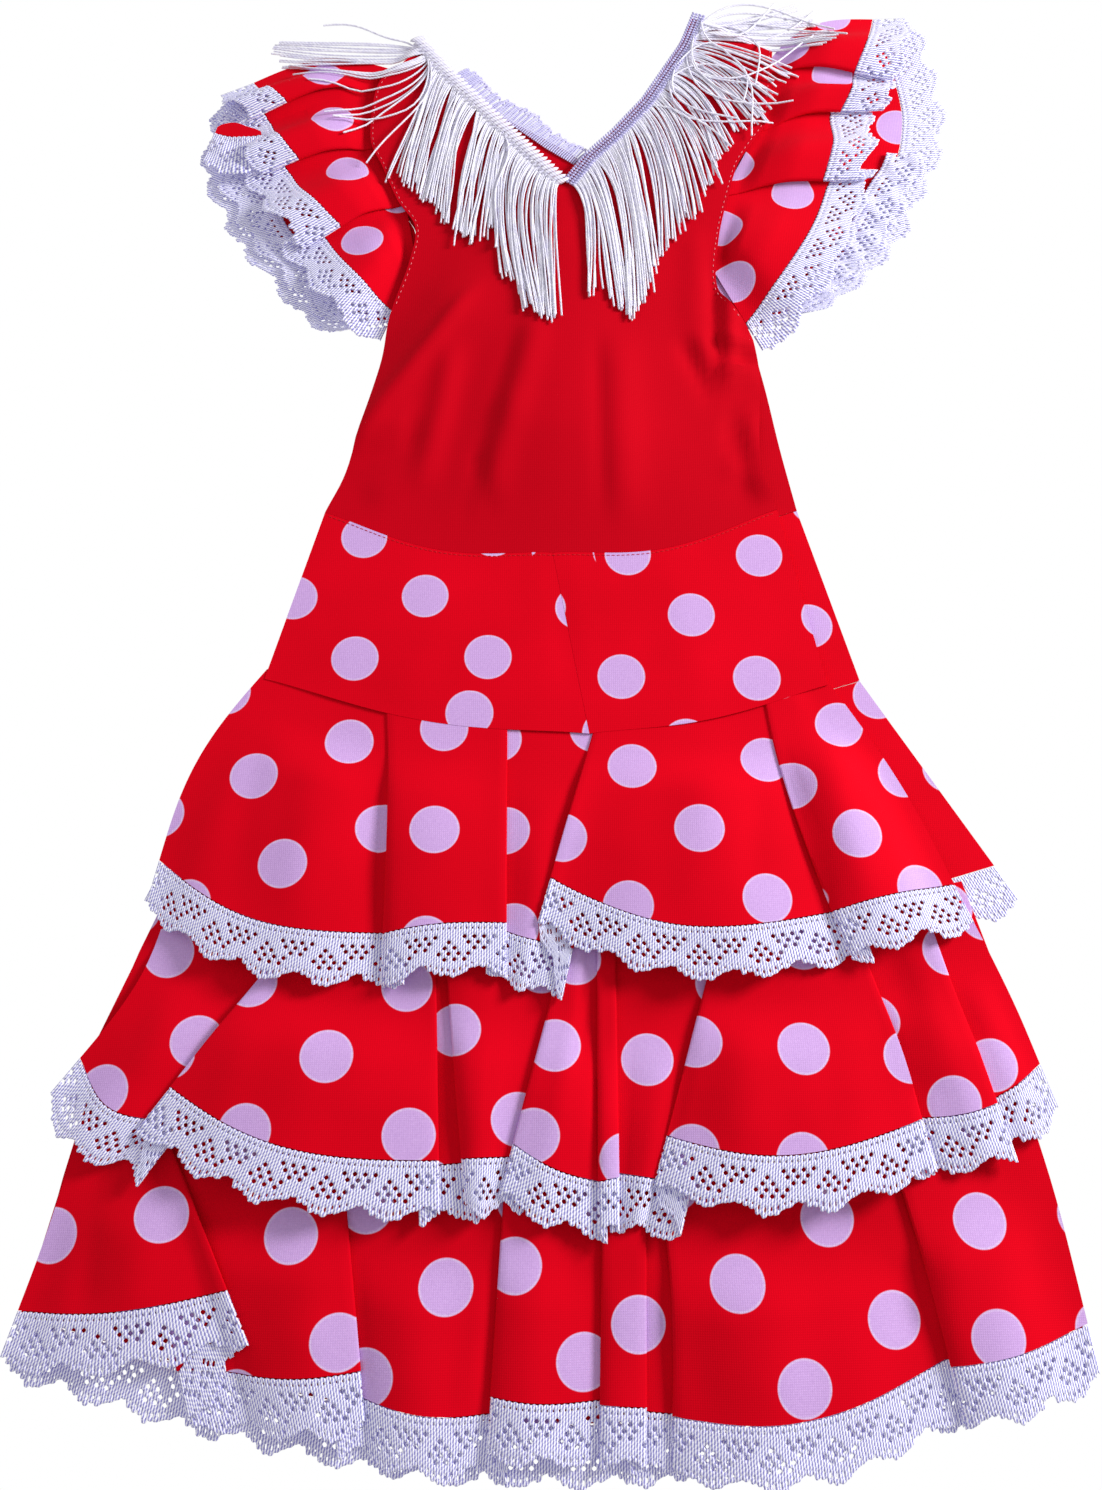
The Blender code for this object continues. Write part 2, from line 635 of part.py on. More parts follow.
def make_fringe(name, line, wide, body_side, locks, strip_height, material):
    """A braid strip whose locks grow out of its edge; locks holds each one's ring centres, widths and outer sides."""
    count = len(locks)
    shares = []
    for k in range(count):
        shares += [(k + 0.5 - LOCK_ROOT_SHARE / 2) / count, (k + 0.5 + LOCK_ROOT_SHARE / 2) / count]
    shares = [0.0] + shares + [1.0]
    near, far, levels = [], [], []
    for share in shares:
        place, way = along_line(line, share)
        across = np.array([-way[1], way[0]]) * body_side
        near.append(place)
        far.append(place + across * wide)
        levels.append(strip_height(place + across * wide / 2))
    points, normals, faces = stack([near, far], [levels, levels], [up_normals(len(shares))] * 2)
    total = len(points)
    points = np.concatenate([points + normals * BRAID_THICK / 2, points - normals * BRAID_THICK / 2])
    walls = faces + [tuple(total + k for k in reversed(face)) for face in faces]
    columns = len(shares)
    roots = {}
    for k in range(count):
        a, b = columns + 1 + 2 * k, columns + 2 + 2 * k
        roots[(b, a)] = k
        roots[(a, b)] = k
    points = list(points)
    for a, b in rim_edges(faces):
        if (a, b) not in roots:
            walls.append((b, a, a + total, b + total))
            continue
        ring = [b, a, a + total, b + total]
        steps = locks[roots[(a, b)]]
        side_way = unit((points[b] - points[a])[:2])
        for n, (centre, lock_wide, toward) in enumerate(steps):
            before = steps[n - 1][0] if n else (points[a] + points[b]) / 2
            way = unit((centre - before)[:2])
            across = np.array([-way[1], way[0]])
            if np.dot(across, side_way) < 0:
                across = -across
            side_way = across
            lateral = np.array([across[0], across[1], 0.0]) * lock_wide / 2
            lift = np.array(toward) * LOCK_THICK / 2
            start = len(points)
            points += [centre + lateral + lift, centre - lateral + lift]
            points += [centre - lateral - lift, centre + lateral - lift]
            fresh = [start, start + 1, start + 2, start + 3]
            for p in range(4):
                q = (p + 1) % 4
                walls.append((ring[p], ring[q], fresh[q], fresh[p]))
            ring = fresh
        walls.append(tuple(ring))
    return make_object(name, np.array(points), walls, material)


def front_locks(line, wide, body_side, tips, top):
    """Ring centres of the locks that lie on the bodice front."""
    length = np.hypot(*np.diff(np.array(line, float), axis=0).T).sum()
    count = int(length / LOCK_SPACING)
    locks = []
    for k in range(count):
        share = (k + 0.5) / count
        place, way = along_line(line, share)
        across = np.array([-way[1], way[0]]) * body_side
        root = place + across * wide
        tip_x, tip_y, bow = table_at(tips, share)
        tip = np.array([tip_x, tip_y])
        reach = tip - root
        aside = unit(np.array([-reach[1], reach[0]]))
        steps = []
        for n in range(1, LOCK_RINGS + 1):
            part = n / LOCK_RINGS
            at = root + reach * part + aside * bow * math.sin(math.pi * part)
            ahead = [at + reach * shift / LOCK_RINGS for shift in np.linspace(-1, 1, LOCK_TESTS)]
            high = max(top(p[0], p[1], LOCK_LOWEST) for p in ahead)
            lock_wide = between(LOCK_SPACING * LOCK_ROOT_SHARE, LOCK_TIP_WIDE, part)
            steps.append((np.array([at[0], at[1], high + LOCK_CLEAR]), lock_wide, (0.0, 0.0, 1.0)))
        locks.append(steps)
    return locks


def back_locks(line, wide, body_side):
    """Ring centres of the locks that loop over the back neck edge and go under the back."""
    length = np.hypot(*np.diff(np.array(line, float), axis=0).T).sum()
    count = int(length / LOCK_SPACING)
    locks = []
    for k in range(count):
        place, way = along_line(line, (k + 0.5) / count)
        across = np.array([-way[1], way[0]]) * body_side
        root = place + across * wide
        down = unit(np.array([BACK_LOCK_LEAN * math.sin(k * 1.7), -1.0]))
        shift = way * LOCK_SPACING / 2
        out = root + across * BACK_LOCK_OUT + shift / 2
        under = root + across * BACK_LOCK_IN + shift
        end = under + down * (BACK_LOCK_LONG + BACK_LOCK_UNEVEN * math.sin(k * 2.3))
        locks.append([
            (np.array([*out, BACK_LOCK_TURN_Z]), BACK_LOCK_WIDE, (*across, 0.0)),
            (np.array([*under, BACK_LOCK_Z]), BACK_LOCK_WIDE, (0.0, 0.0, -1.0)),
            (np.array([*end, BACK_LOCK_Z]), BACK_LOCK_TIP, (0.0, 0.0, -1.0)),
        ])
    return locks


for old in list(bpy.data.objects):
    bpy.data.objects.remove(old, do_unlink=True)

red_knit = cloth("red stretch knit", (0.72, 0.006, 0.014), 0.75)
red_spot = cloth("red spotted cotton", (0.74, 0.004, 0.012), 0.8)
crochet = cloth("lilac white crochet lace", (0.62, 0.6, 0.76), 0.85)
floss = cloth("white floss fringe", (0.75, 0.74, 0.84), 0.6)


def profile_first(fall):
    """Base height, side height, layer height and swell share at a share of the way from top to hem."""
    rise = rise_at(fall, RISE_FIRST)
    return between(ON_BACK_Z, OVER_TOP_Z, rise), between(ON_BACK_Z, OVER_SIDE_Z, rise), LAYER, rise


def profile_second(fall):
    rise = rise_at(fall, RISE_LOWER)
    return between(ON_LACE_Z, OVER_TOP_Z, rise), between(ON_LACE_Z, OVER_SIDE_Z, rise), LAYER, rise


def profile_third(fall):
    rise = rise_at(fall, RISE_LOWER)
    level = between(ON_LACE_Z, ON_BACK_Z, rise)
    return level, level, LAYER, rise


def profile_sleeve(fall):
    rise = rise_at(fall, RISE_SLEEVE)
    return between(ON_BACK_Z, SLEEVE_HEM_Z, rise), ON_BACK_Z, LAYER + SLEEVE_PUFF * rise, rise


FIRST_FALLS = (0.0, 0.1, 0.4, 0.76, 1.0)
LOWER_FALLS = (0.0, 0.4, 0.6, 0.82, 1.0)
SLEEVE_FALLS = (0.0, 0.12, 0.4, 0.7, 1.0)

ruffles = {}
for name, folds, falls, profile in (
    ("flounce_1_front", FLOUNCE_1, FIRST_FALLS, profile_first),
    ("flounce_2_front", FLOUNCE_2, LOWER_FALLS, profile_second),
    ("flounce_3_front", FLOUNCE_3, LOWER_FALLS, profile_third),
    ("sleeve_left_top", SLEEVE_LEFT, SLEEVE_FALLS, profile_sleeve),
    ("sleeve_right_top", SLEEVE_RIGHT, SLEEVE_FALLS, profile_sleeve),
):
    edging = "lace_" + name.removeprefix("flounce_")
    ruffles[name] = make_flounce((name, edging), folds, falls, profile, red_spot, crochet)
make_back_flounce(("flounce_1_back", "lace_1_back"), BACK_1, False, (red_spot, crochet))
make_back_flounce(("flounce_2_back", "lace_2_back"), BACK_2, True, (red_spot, crochet))
make_back_flounce(("flounce_3_back", "lace_3_back"), BACK_3, True, (red_spot, crochet))

bodice_front = make_bodice(
    "bodice_front", BODICE_FRONT_ROWS, V_ROW_FRONT, FRONT_HEIGHTS, FRONT_CLIMB, red_knit, chest_folds,
)
back_heights = []
for number in range(len(BODICE_BACK_ROWS)):
    lifted = BACK_LIFT * smooth((number - BACK_LIFT_ROWS[0]) / (BACK_LIFT_ROWS[1] - BACK_LIFT_ROWS[0]))
    back_heights.append((BACK_Z, BACK_Z, BACK_Z + lifted))
make_bodice(
    "bodice_back", BODICE_BACK_ROWS, V_ROW_BACK, back_heights, BACK_CLIMB, red_knit, no_folds,
)

make_yoke_half("yoke_front_left", YOKE_LEFT, red_spot)
make_yoke_half("yoke_front_right", YOKE_RIGHT, red_spot)


def make_yoke_back():
    """The back of the yoke, between the bodice back's hem and the first flounce's back."""
    outer, inner, _, far = np.array(BODICE_BACK_ROWS[0], float).reshape(4, 2)
    left = half_columns(outer, inner, HEM_DIP)
    right = half_columns(far, inner, HEM_DIP)
    top = np.concatenate([left, right[:-1][::-1]]) - (0.0, SEAM_GAP)
    columns = len(top)
    hem = curve_row(YOKE_BACK_BOTTOM[:2], YOKE_BACK_BOTTOM[2:], YOKE_BACK_SAG, BACK_COLUMNS) + (0.0, SEAM_GAP)
    low = row_between(hem, columns)
    rows = [top, (top + low) / 2, low]
    points, normals, faces = stack(rows, [np.full(columns, BACK_Z)] * 3, [up_normals(columns)] * 3)
    return make_wall("yoke_back", points, normals, faces, red_spot)


make_yoke_back()

left_armhole = [row[0:2] for row in BODICE_BACK_ROWS[: ARMPIT_ROW - 1 : -1]]
right_armhole = [row[6:8] for row in BODICE_BACK_ROWS[: ARMPIT_ROW - 1 : -1]]
make_under_sleeve(
    ("sleeve_left_under", "lace_sleeve_left_under"), left_armhole, UNDER_SEAM_LEFT, (red_spot, crochet)
)
make_under_sleeve(
    ("sleeve_right_under", "lace_sleeve_right_under"), right_armhole, UNDER_SEAM_RIGHT, (red_spot, crochet)
)

front_top = height_field([bodice_front, *ruffles["sleeve_left_top"], *ruffles["sleeve_right_top"]])


def strip_on_front(place):
    shifts = (-BRAID_REACH, 0.0, BRAID_REACH)
    around = [front_top(place[0] + dx, place[1] + dy, BRAID_LOWEST) for dx in shifts for dy in shifts]
    return max(around) + BRAID_CLEAR + BRAID_THICK / 2


def strip_on_back(place):
    return BACK_Z + BACK_LIFT


for name, braid, wide, tips in (
    ("fringe_front_left", BRAID_LEFT, BRAID_LEFT_WIDE, FRINGE_LEFT_TIPS),
    ("fringe_front_right", BRAID_RIGHT, BRAID_RIGHT_WIDE, FRINGE_RIGHT_TIPS),
):
    make_fringe(name, braid, wide, -1, front_locks(braid, wide, -1, tips, front_top), strip_on_front, floss)
make_fringe(
    "fringe_back", BRAID_BACK, BRAID_BACK_WIDE, 1, back_locks(BRAID_BACK, BRAID_BACK_WIDE, 1), strip_on_back, floss,
)
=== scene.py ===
"""A child's flamenco dress laid flat: cloth, lace, fringe and sewing. The tables are in millimetres."""

import math
from collections import namedtuple

import bpy
import numpy as np
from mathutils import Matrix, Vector
from mathutils.bvhtree import BVHTree


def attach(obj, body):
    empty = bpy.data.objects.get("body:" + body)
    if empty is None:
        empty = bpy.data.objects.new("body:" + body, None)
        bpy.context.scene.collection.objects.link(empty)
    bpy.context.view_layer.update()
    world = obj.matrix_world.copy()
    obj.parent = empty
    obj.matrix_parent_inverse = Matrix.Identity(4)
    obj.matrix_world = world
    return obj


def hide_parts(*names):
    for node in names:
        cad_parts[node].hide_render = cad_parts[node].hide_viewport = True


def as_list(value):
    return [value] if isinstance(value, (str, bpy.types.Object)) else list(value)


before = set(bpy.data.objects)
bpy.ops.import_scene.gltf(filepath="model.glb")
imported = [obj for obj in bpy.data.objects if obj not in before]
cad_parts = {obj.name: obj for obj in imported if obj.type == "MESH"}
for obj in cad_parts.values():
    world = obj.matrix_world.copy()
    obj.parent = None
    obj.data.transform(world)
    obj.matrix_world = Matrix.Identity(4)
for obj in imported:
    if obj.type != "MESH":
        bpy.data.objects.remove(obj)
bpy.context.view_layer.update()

MM = 0.001
CLOTH_THICK = 0.9
LACE_THICK = 0.9
RIM_ANGLE = math.radians(50)
BACK_Z = 0.5
SEAM_GAP = 0.4
LAYER = 1.6
SEAM_LAYER = 0.6
# A pleat reaches in by its depth, at most by the share MOST_UNDER of its panel. The panel on top is held
# level for HOLD more, and the one below for UNDER_HOLD. EDGE_CLEAR keeps a panel's first points off the fold.
MOST_UNDER = 0.42
HOLD = 2.5
UNDER_HOLD = 16.0
EDGE_CLEAR = 1.2
SIDE_RISE = 26.0
CLOTH_STEP = 5.0
HEM_STEP = 2.5
FLOUNCE_ROWS = 34
# The humps grow over SHOW_SPAN of the fall and never dip under LIFT_LOWEST. The lace follows the cloth's way
# down from ABOVE_HEM of the fall to the hem.
SHOW_SPAN = 0.25
ABOVE_HEM = 0.9
LIFT_LOWEST = -0.9
TURN_POINTS = 5
RUN_POINTS = 3

SPOT_WIDE = 27.0
SPOT_PITCH = 56.0

Fold = namedtuple("Fold", "top_x top_y left_x left_y right_x right_y over depth bow sag swell waves")
Spots = namedtuple("Spots", "x y right_x right_y up_x up_y")
Crease = namedtuple("Crease", "from_x from_y to_x to_y wide high")
RIGHT_OVER = "right"
LEFT_OVER = "left"
SIDE = "side"

# A fold's over says which of the two panels it parts lies on top.
# Its sag, swell and waves shape the panel on its right.
FLOUNCE_1 = [
    Fold(-161, -27, -212, -139, -212, -139, SIDE, 0, -9, -15, 1.5, 2),
    Fold(-92, -47, -88, -179, -88, -180, RIGHT_OVER, 13, 2, 2, 1.0, 0),
    Fold(-24, -57, -23, -174, -23, -178, LEFT_OVER, 11, 0, -1, 0.0, 0),
    Fold(27, -58, -1, -184, 1, -150, RIGHT_OVER, 14, 0, -18, 2.2, 2),
    Fold(122, -44, 150, -168, 151, -168, RIGHT_OVER, 13, -4, 1, 0.8, 0),
    Fold(157, -32, 219, -152, 219, -152, SIDE, 0, 4, 0, 0, 0),
]
FLOUNCE_2 = [
    Fold(-203, -150, -244, -244, -244, -244, SIDE, 0, 8, -9, 0.8, 0),
    Fold(-122, -160, -202, -275, -194, -259, RIGHT_OVER, 15, 0, -14, 1.8, 1),
    Fold(-62, -164, -56, -295, -56, -297, LEFT_OVER, 10, 0, 0, 0.0, 0),
    Fold(-58, -164, -44, -296, -44, -294, RIGHT_OVER, 9, 0, 0, 0.0, 0),
    Fold(14, -166, -18, -293, -18, -287, RIGHT_OVER, 12, 0, -3, 0.6, 0),
    Fold(26, -170, 25, -305, 25, -305, RIGHT_OVER, 6, 0, 0, 0.0, 0),
    Fold(35, -170, 35, -303, 35, -301, LEFT_OVER, 6, 0, 0, 0.6, 0),
    Fold(95, -166, 56, -304, 60, -283, RIGHT_OVER, 16, 0, -14, 2.0, 2),
    Fold(155, -158, 190, -275, 191, -274, LEFT_OVER, 13, 3, -2, 0.4, 0),
    Fold(198, -152, 229, -267, 231, -263, LEFT_OVER, 9, 0, -1, 0.4, 0),
    Fold(218, -150, 255, -247, 255, -247, SIDE, 0, 2, 0, 0, 0),
]
FLOUNCE_3 = [
    Fold(-237, -256, -263, -366, -263, -366, SIDE, 0, 2, -5, 1.0, 1),
    Fold(-206, -262, -159, -356, -162, -393, LEFT_OVER, 19, 0, -3, 0.4, 0),
    Fold(-107, -284, -92, -393, -91, -405, LEFT_OVER, 14, 0, -4, 1.0, 0),
    Fold(-21, -286, -30, -412, -28, -404, RIGHT_OVER, 12, 0, -2, 0.8, 0),
    Fold(28, -290, 25, -406, 25, -408, RIGHT_OVER, 9, 0, 0, 0.0, 0),
    Fold(49, -291, 47, -409, 47, -411, LEFT_OVER, 8, 0, 0, 0.0, 0),
    Fold(53, -291, 59, -412, 60, -413, RIGHT_OVER, 9, 4, -13, 2.2, 2),
    Fold(168, -272, 194, -388, 196, -391, RIGHT_OVER, 14, 2, -3, 1.0, 0),
    Fold(243, -254, 266, -372, 266, -372, SIDE, 0, 2, 0, 0, 0),
]
SLEEVE_LEFT = [
    Fold(-97, 396, -196, 388, -196, 388, SIDE, 0, -15, -2, 3.0, 0),
    Fold(-110, 381, -171, 364, -181, 351, LEFT_OVER, 11, -4, -3, 3.2, 0),
    Fold(-112, 335, -161, 320, -166, 312, LEFT_OVER, 12, -2, -4, 3.4, 0),
    Fold(-92, 291, -132, 270, -141, 263, LEFT_OVER, 11, -2, -4, 2.6, 0),
    Fold(-84, 246, -97, 211, -97, 211, SIDE, 0, 0, 0, 0, 0),
]
SLEEVE_RIGHT = [
    Fold(145, 404, 218, 441, 218, 441, SIDE, 0, 14, -2, 3.0, 0),
    Fold(143, 394, 201, 391, 200, 388, LEFT_OVER, 11, 3, -2, 3.0, 0),
    Fold(135, 347, 190, 359, 183, 356, LEFT_OVER, 12, 3, -3, 3.2, 0),
    Fold(111, 297, 175, 305, 178, 303, LEFT_OVER, 12, 2, -8, 3.2, 0),
    Fold(102, 244, 122, 203, 122, 203, SIDE, 0, 0, 0, 0, 0),
]

# One spot's centre on each panel, and the steps from it to the next spots beside and above it.
SPOTS_1 = [
    Spots(-112, -71, 51, 21, -20, 51), Spots(-62, -124, 60, -3, 3, 61), Spots(-19, -177, 54, 6, -5, 54),
    Spots(46, -86, 39, 42, -35, 38), Spots(166, -127, 30, 37, -33, 29),
]
SPOTS_2 = [
    Spots(-203, -189, 46, 25, -20, 47), Spots(-114, -244, 39, 37, -43, 39), Spots(-16, -275, 45, 33, -33, 45),
    Spots(-16, -275, 45, 33, -33, 45), Spots(3, -238, 11, 45, -47, 12), Spots(3, -238, 11, 45, -47, 12),
    Spots(51, -245, 40, 40, -40, 40), Spots(131, -240, 55, -4, 4, 55), Spots(207, -267, 42, 37, -37, 42),
    Spots(229, -248, 42, 37, -37, 42),
]
SPOTS_3 = [
    Spots(-194, -321, 56, 10, -10, 56), Spots(-129, -331, 49, 26, -26, 49), Spots(-51, -355, 38, 41, -41, 38),
    Spots(-17, -345, 44, 34, -34, 44), Spots(44, -372, 40, 40, -40, 40), Spots(44, -372, 40, 40, -40, 40),
    Spots(93, -353, 47, 30, -30, 47), Spots(216, -324, 54, 3, -3, 54),
]
# The sleeves' spots one by one, on each panel.
SPOTS_SLEEVE_LEFT = [[(-149, 389)], [(-141, 352)], [(-130, 313)], [(-118, 259), (-98, 298)]]
SPOTS_SLEEVE_RIGHT = [
    [(190, 444), (159, 413)], [(187, 390)], [(119, 322)], [(156, 297), (109, 273), (115, 231)],
]
SPOTS_BACK = [Spots(150, 0, 43, 36, -36, 43)]
SPOTS_MOUTH = [Spots(228, 353, 50, 25, -25, 50)]
# The yoke's print is pulled askew by its seams: the main part, along the centre seam and along the hem.
SPOTS_YOKE_LEFT = [
    Spots(-109, 56, 39, 39, -37, 38), Spots(17, 11, 43, 36, -36, 43), Spots(-45, -54, 43, 33, -34, 45),
]
SPOTS_YOKE_RIGHT = [Spots(82, 6, 41, 38, -36, 39), Spots(-4, 11, 43, 36, -36, 43)]
# Boxes of a yoke half that the second and third of its patterns print: low x and y, high x and y.
PARTS_YOKE_LEFT = [(-10, -1000, 1000, 1000), (-90, -1000, 1000, -39)]
PARTS_YOKE_RIGHT = [(-1000, -12, 28, 1000)]

# Rows across the bodice: outer left, inner left, inner right and outer right point.
BODICE_FRONT_ROWS = [
    (-133, 72, 2, 46, 2, 46, 135, 74),
    (-120, 104, 3, 90, 3, 90, 126, 104),
    (-104, 168, 4, 150, 4, 150, 129, 165),
    (-99, 205, 5, 200, 5, 200, 122, 199),
    (-88, 243, 6, 243, 6, 243, 105, 225),
    (-85, 270, 7, 280, 7, 280, 107, 262),
    (-97, 291, 8, 309, 8, 309, 115, 297),
    (-108, 318, -16, 338, 24, 327, 121, 318),
    (-116, 338, -38, 363, 43, 348, 130, 334),
    (-115, 372, -61, 387, 67, 380, 141, 352),
    (-110, 388, -76, 405, 82, 408, 145, 378),
    (-100, 397, -84, 417, 96, 438, 148, 409),
]
BODICE_BACK_ROWS = [
    (-133, 72, 2, 46, 2, 46, 147, 74),
    (-120, 104, 4, 90, 4, 90, 139, 115),
    (-104, 168, 7, 150, 7, 150, 131, 162),
    (-99, 205, 10, 200, 10, 200, 122, 199),
    (-88, 243, 13, 243, 13, 243, 105, 225),
    (-85, 270, 16, 280, 16, 280, 107, 262),
    (-97, 291, 18, 304, 18, 304, 115, 297),
    (-108, 318, 20, 324, 20, 324, 121, 318),
    (-116, 338, -8, 345, 34, 338, 130, 334),
    (-115, 372, -36, 363, 60, 370, 141, 352),
    (-110, 388, -60, 382, 82, 402, 145, 378),
    (-98, 402, -78, 404, 99, 434, 148, 405),
]
V_ROW_FRONT = 6
V_ROW_BACK = 7
HEM_DIP = -11.0
DIP_FADE = (1.0, 0.45, 0.0)
LOWEST_FRONT = 1.9
HALF_COLUMNS = 34
NEAR_SIDE = 0.2
CLIMB_FRONT = 0.6
CLIMB_BACK = 0.3
BODICE_STEPS = 8
# Height of the wall's centre for each row: at the side, at NEAR_SIDE of the way in, and along the middle.
FRONT_HEIGHTS = [
    (1.9, 1.9, 1.9), (1.9, 2.8, 3.2), (2.0, 3.6, 4.4), (4.6, 5.0, 4.8), (6.6, 5.8, 4.8), (6.6, 6.0, 4.8),
    (6.6, 6.2, 5.0), (6.6, 6.2, 5.0), (6.6, 6.2, 5.0), (6.6, 6.2, 5.2), (6.6, 6.2, 5.4), (6.6, 6.2, 5.6),
]
BACK_HEIGHTS = [(0.5, 0.5, 0.5)] * 4 + [(0.5, 0.5, 1.45)] + [(0.5, 0.5, 2.4)] * 7

UNDER_SEAM_LEFT = [
    (-188, 382), (-197, 362), (-200, 338), (-196, 315), (-184, 292), (-172, 268), (-154, 248), (-133, 222),
    (-108, 203),
]
UNDER_SEAM_RIGHT = [
    (222, 430), (227, 405), (232, 362), (225, 325), (211, 300), (200, 275), (182, 250), (160, 225),
    (136, 204),
]
ARMPIT_ROW = 3
UNDER_ROWS = 12
INNER_LIFT = 1.9

# Halves of the yoke: the top and bottom of the outer side, how much the hem sags and its height at the side.
YokeHalf = namedtuple("YokeHalf", "name seam_side outer sag side_hem_z spots parts")
YOKE_HALVES = [
    YokeHalf("yoke_front_left", -1, (-133, 72, -162, -33), -9, 2.4, SPOTS_YOKE_LEFT, PARTS_YOKE_LEFT),
    YokeHalf("yoke_front_right", 1, (135, 74, 158, -37), -6, 3.2, SPOTS_YOKE_RIGHT, PARTS_YOKE_RIGHT),
]
YOKE_SEAM = (2, 46, 22.5, -66)
YOKE_TOP_Z = 1.9
YOKE_HEM_Z = 3.3
YOKE_RISEN = 0.93
YOKE_GAP = 0.12
YOKE_BACK_BOTTOM = (-162, -31, 177, -34)
YOKE_BACK_SAG = -34.0
YOKE_ROWS = 26

# Backs of the flounces: the top and bottom of each side, and how much the top and the hem sag.
Back = namedtuple("Back", "name left right top_sag sag shingled")
BACKS = [
    Back("flounce_1_back", (-162, -31, -210, -139), (177, -34, 243, -141), -34.0, -44.0, False),
    Back("flounce_2_back", (-203, -148, -242, -245), (224, -150, 253, -249), -30.0, -50.0, True),
    Back("flounce_3_back", (-237, -256, -262, -368), (243, -254, 264, -374), -34.0, -46.0, True),
]
BACK_SHINGLE = 1.3
BACK_COLUMNS = 49
BACK_ROWS = 13

# Crochet lace: one repeat is a scallop of 30 mm, in cells of a thread's width.
LACE_WIDE = 30.0
SCALLOP = 30.0
SCALLOP_DEEP = 7.5
UNDER_LACE_IN = 8.0
LACE_COLUMNS = 30
LACE_ROWS = 30
HEADER_ROWS = (1, 3)
NET_TOP = 5.0
NET_FIRST = 2.5
NET_HOLE_ROWS = 3
NET_HOLES = 6
BAND_WIDE = 1.9
HOLE_CLEAR = 2.2
ROUNDING_PASSES = 2
ROUNDING_PULL = 0.45
LOOP_LONG = 6.0
LOOP_SHORT = 3.5
LOOP_END = 1.2
LOOP_UNEVEN = 1.1

# Fringe: how far along the braid each strand's root lies, its tip, and how much it bows aside.
Hang = namedtuple("Hang", "share tip_x tip_y bow")
HANG_LEFT = [
    Hang(0.00, -174, 426, -4), Hang(0.05, -184, 408, 4), Hang(0.11, -170, 401, 6), Hang(0.125, -131, 338, 10),
    Hang(0.14, -112, 311, 7), Hang(0.16, -95, 304, 3), Hang(0.24, -86, 297, 2), Hang(0.34, -77, 287, 1),
    Hang(0.44, -66, 272, 0), Hang(0.54, -55, 262, 0), Hang(0.62, -46, 254, 0), Hang(0.66, -36, 268, 0),
    Hang(0.70, -29, 236, -2), Hang(0.75, -22, 226, -3), Hang(0.80, -14, 208, -4), Hang(0.90, -4, 197, -3),
    Hang(1.00, 8, 196, -2),
]
HANG_RIGHT = [
    Hang(0.00, 24, 215, 4), Hang(0.05, 31, 220, 4), Hang(0.09, 44, 207, 3), Hang(0.18, 50, 203, 2),
    Hang(0.26, 58, 209, 2), Hang(0.33, 64, 230, 0), Hang(0.40, 74, 246, 0), Hang(0.47, 85, 272, 2),
    Hang(0.54, 94, 284, 3), Hang(0.60, 104, 308, 4), Hang(0.66, 112, 335, 4), Hang(0.72, 127, 346, 5),
    Hang(0.78, 140, 350, 6), Hang(0.83, 152, 380, 6), Hang(0.89, 188, 414, 4), Hang(0.94, 184, 430, 2),
    Hang(1.00, 165, 452, -5),
]
LOOSE_LEFT = [
    Hang(0.02, -152, 434, -9), Hang(0.08, -136, 344, 24), Hang(0.10, -118, 318, 16), Hang(0.64, -40, 250, 9),
]
LOOSE_RIGHT = [
    Hang(0.50, 110, 300, 12), Hang(0.58, 146, 352, -16), Hang(0.62, 148, 366, 22), Hang(0.66, 118, 330, -12),
    Hang(0.70, 160, 392, 24), Hang(0.74, 122, 352, -22), Hang(0.76, 176, 420, -20), Hang(0.80, 134, 340, 18),
    Hang(0.82, 158, 362, -24), Hang(0.84, 126, 366, 14), Hang(0.86, 196, 414, 22), Hang(0.88, 140, 356, -18),
    Hang(0.90, 168, 438, 18), Hang(0.92, 150, 372, -26), Hang(0.94, 178, 446, -14), Hang(0.96, 136, 380, 20),
    Hang(0.97, 152, 452, -12), Hang(0.99, 190, 426, 20), Hang(1.00, 132, 400, -14),
]
BRAID_LEFT = [(-86, 420), (-64, 390), (-43, 365), (-20, 339), (9, 306)]
BRAID_RIGHT = [(11, 305), (25, 326), (42, 344), (62, 369), (79, 398), (89, 415), (98, 440)]
BRAID_BACK = [(-66, 391), (-55, 379), (-36, 362), (-19, 350), (-1, 335), (19, 321), (24, 318)]
BRAID_WIDE = 8.0
STRANDS_FRONT = 165
STRANDS_BACK = 72
STRAND_RADIUS = 0.62
STRAND_POINTS = 14
CLUMP = 7
CLUMP_CLOSE = 0.28
KNEE = 13.0
STRAND_CLEAR = 0.15
STRAND_STACK = 1.9
# How far clumps, tips and strands stray from the table, at random.
CLUMP_STRAY = 1.7
CLUMP_BEND = 2.0
TIP_STRAY = (1.5, 2.6)
STRAND_BEND = 0.7
LOOSE_WAVE = 3.0
LOOSE_LAYER = 1.4
OVER_EDGE = 14.0
BACK_ROOT_IN = 2.0
BACK_ROOT_Z = 3.9
BACK_TIP_Z = 0.75
BACK_TURN = 3.2

# Rows of loops that make up a braid: how far across it each lies, a loop's size, slant and spacing.
Loops = namedtuple("Loops", "share size slant spacing")
LOOPS_LEFT = [Loops(0.2, (12.0, 2.9, 3.4), 1.25, 3.6)]
LOOPS_RIGHT = [
    Loops(share, (2.5, 1.6, 2.0), slant, 2.1)
    for share, slant in ((-0.2, 1.3), (0.1, 1.8), (0.4, 1.3), (0.7, 1.8))
]
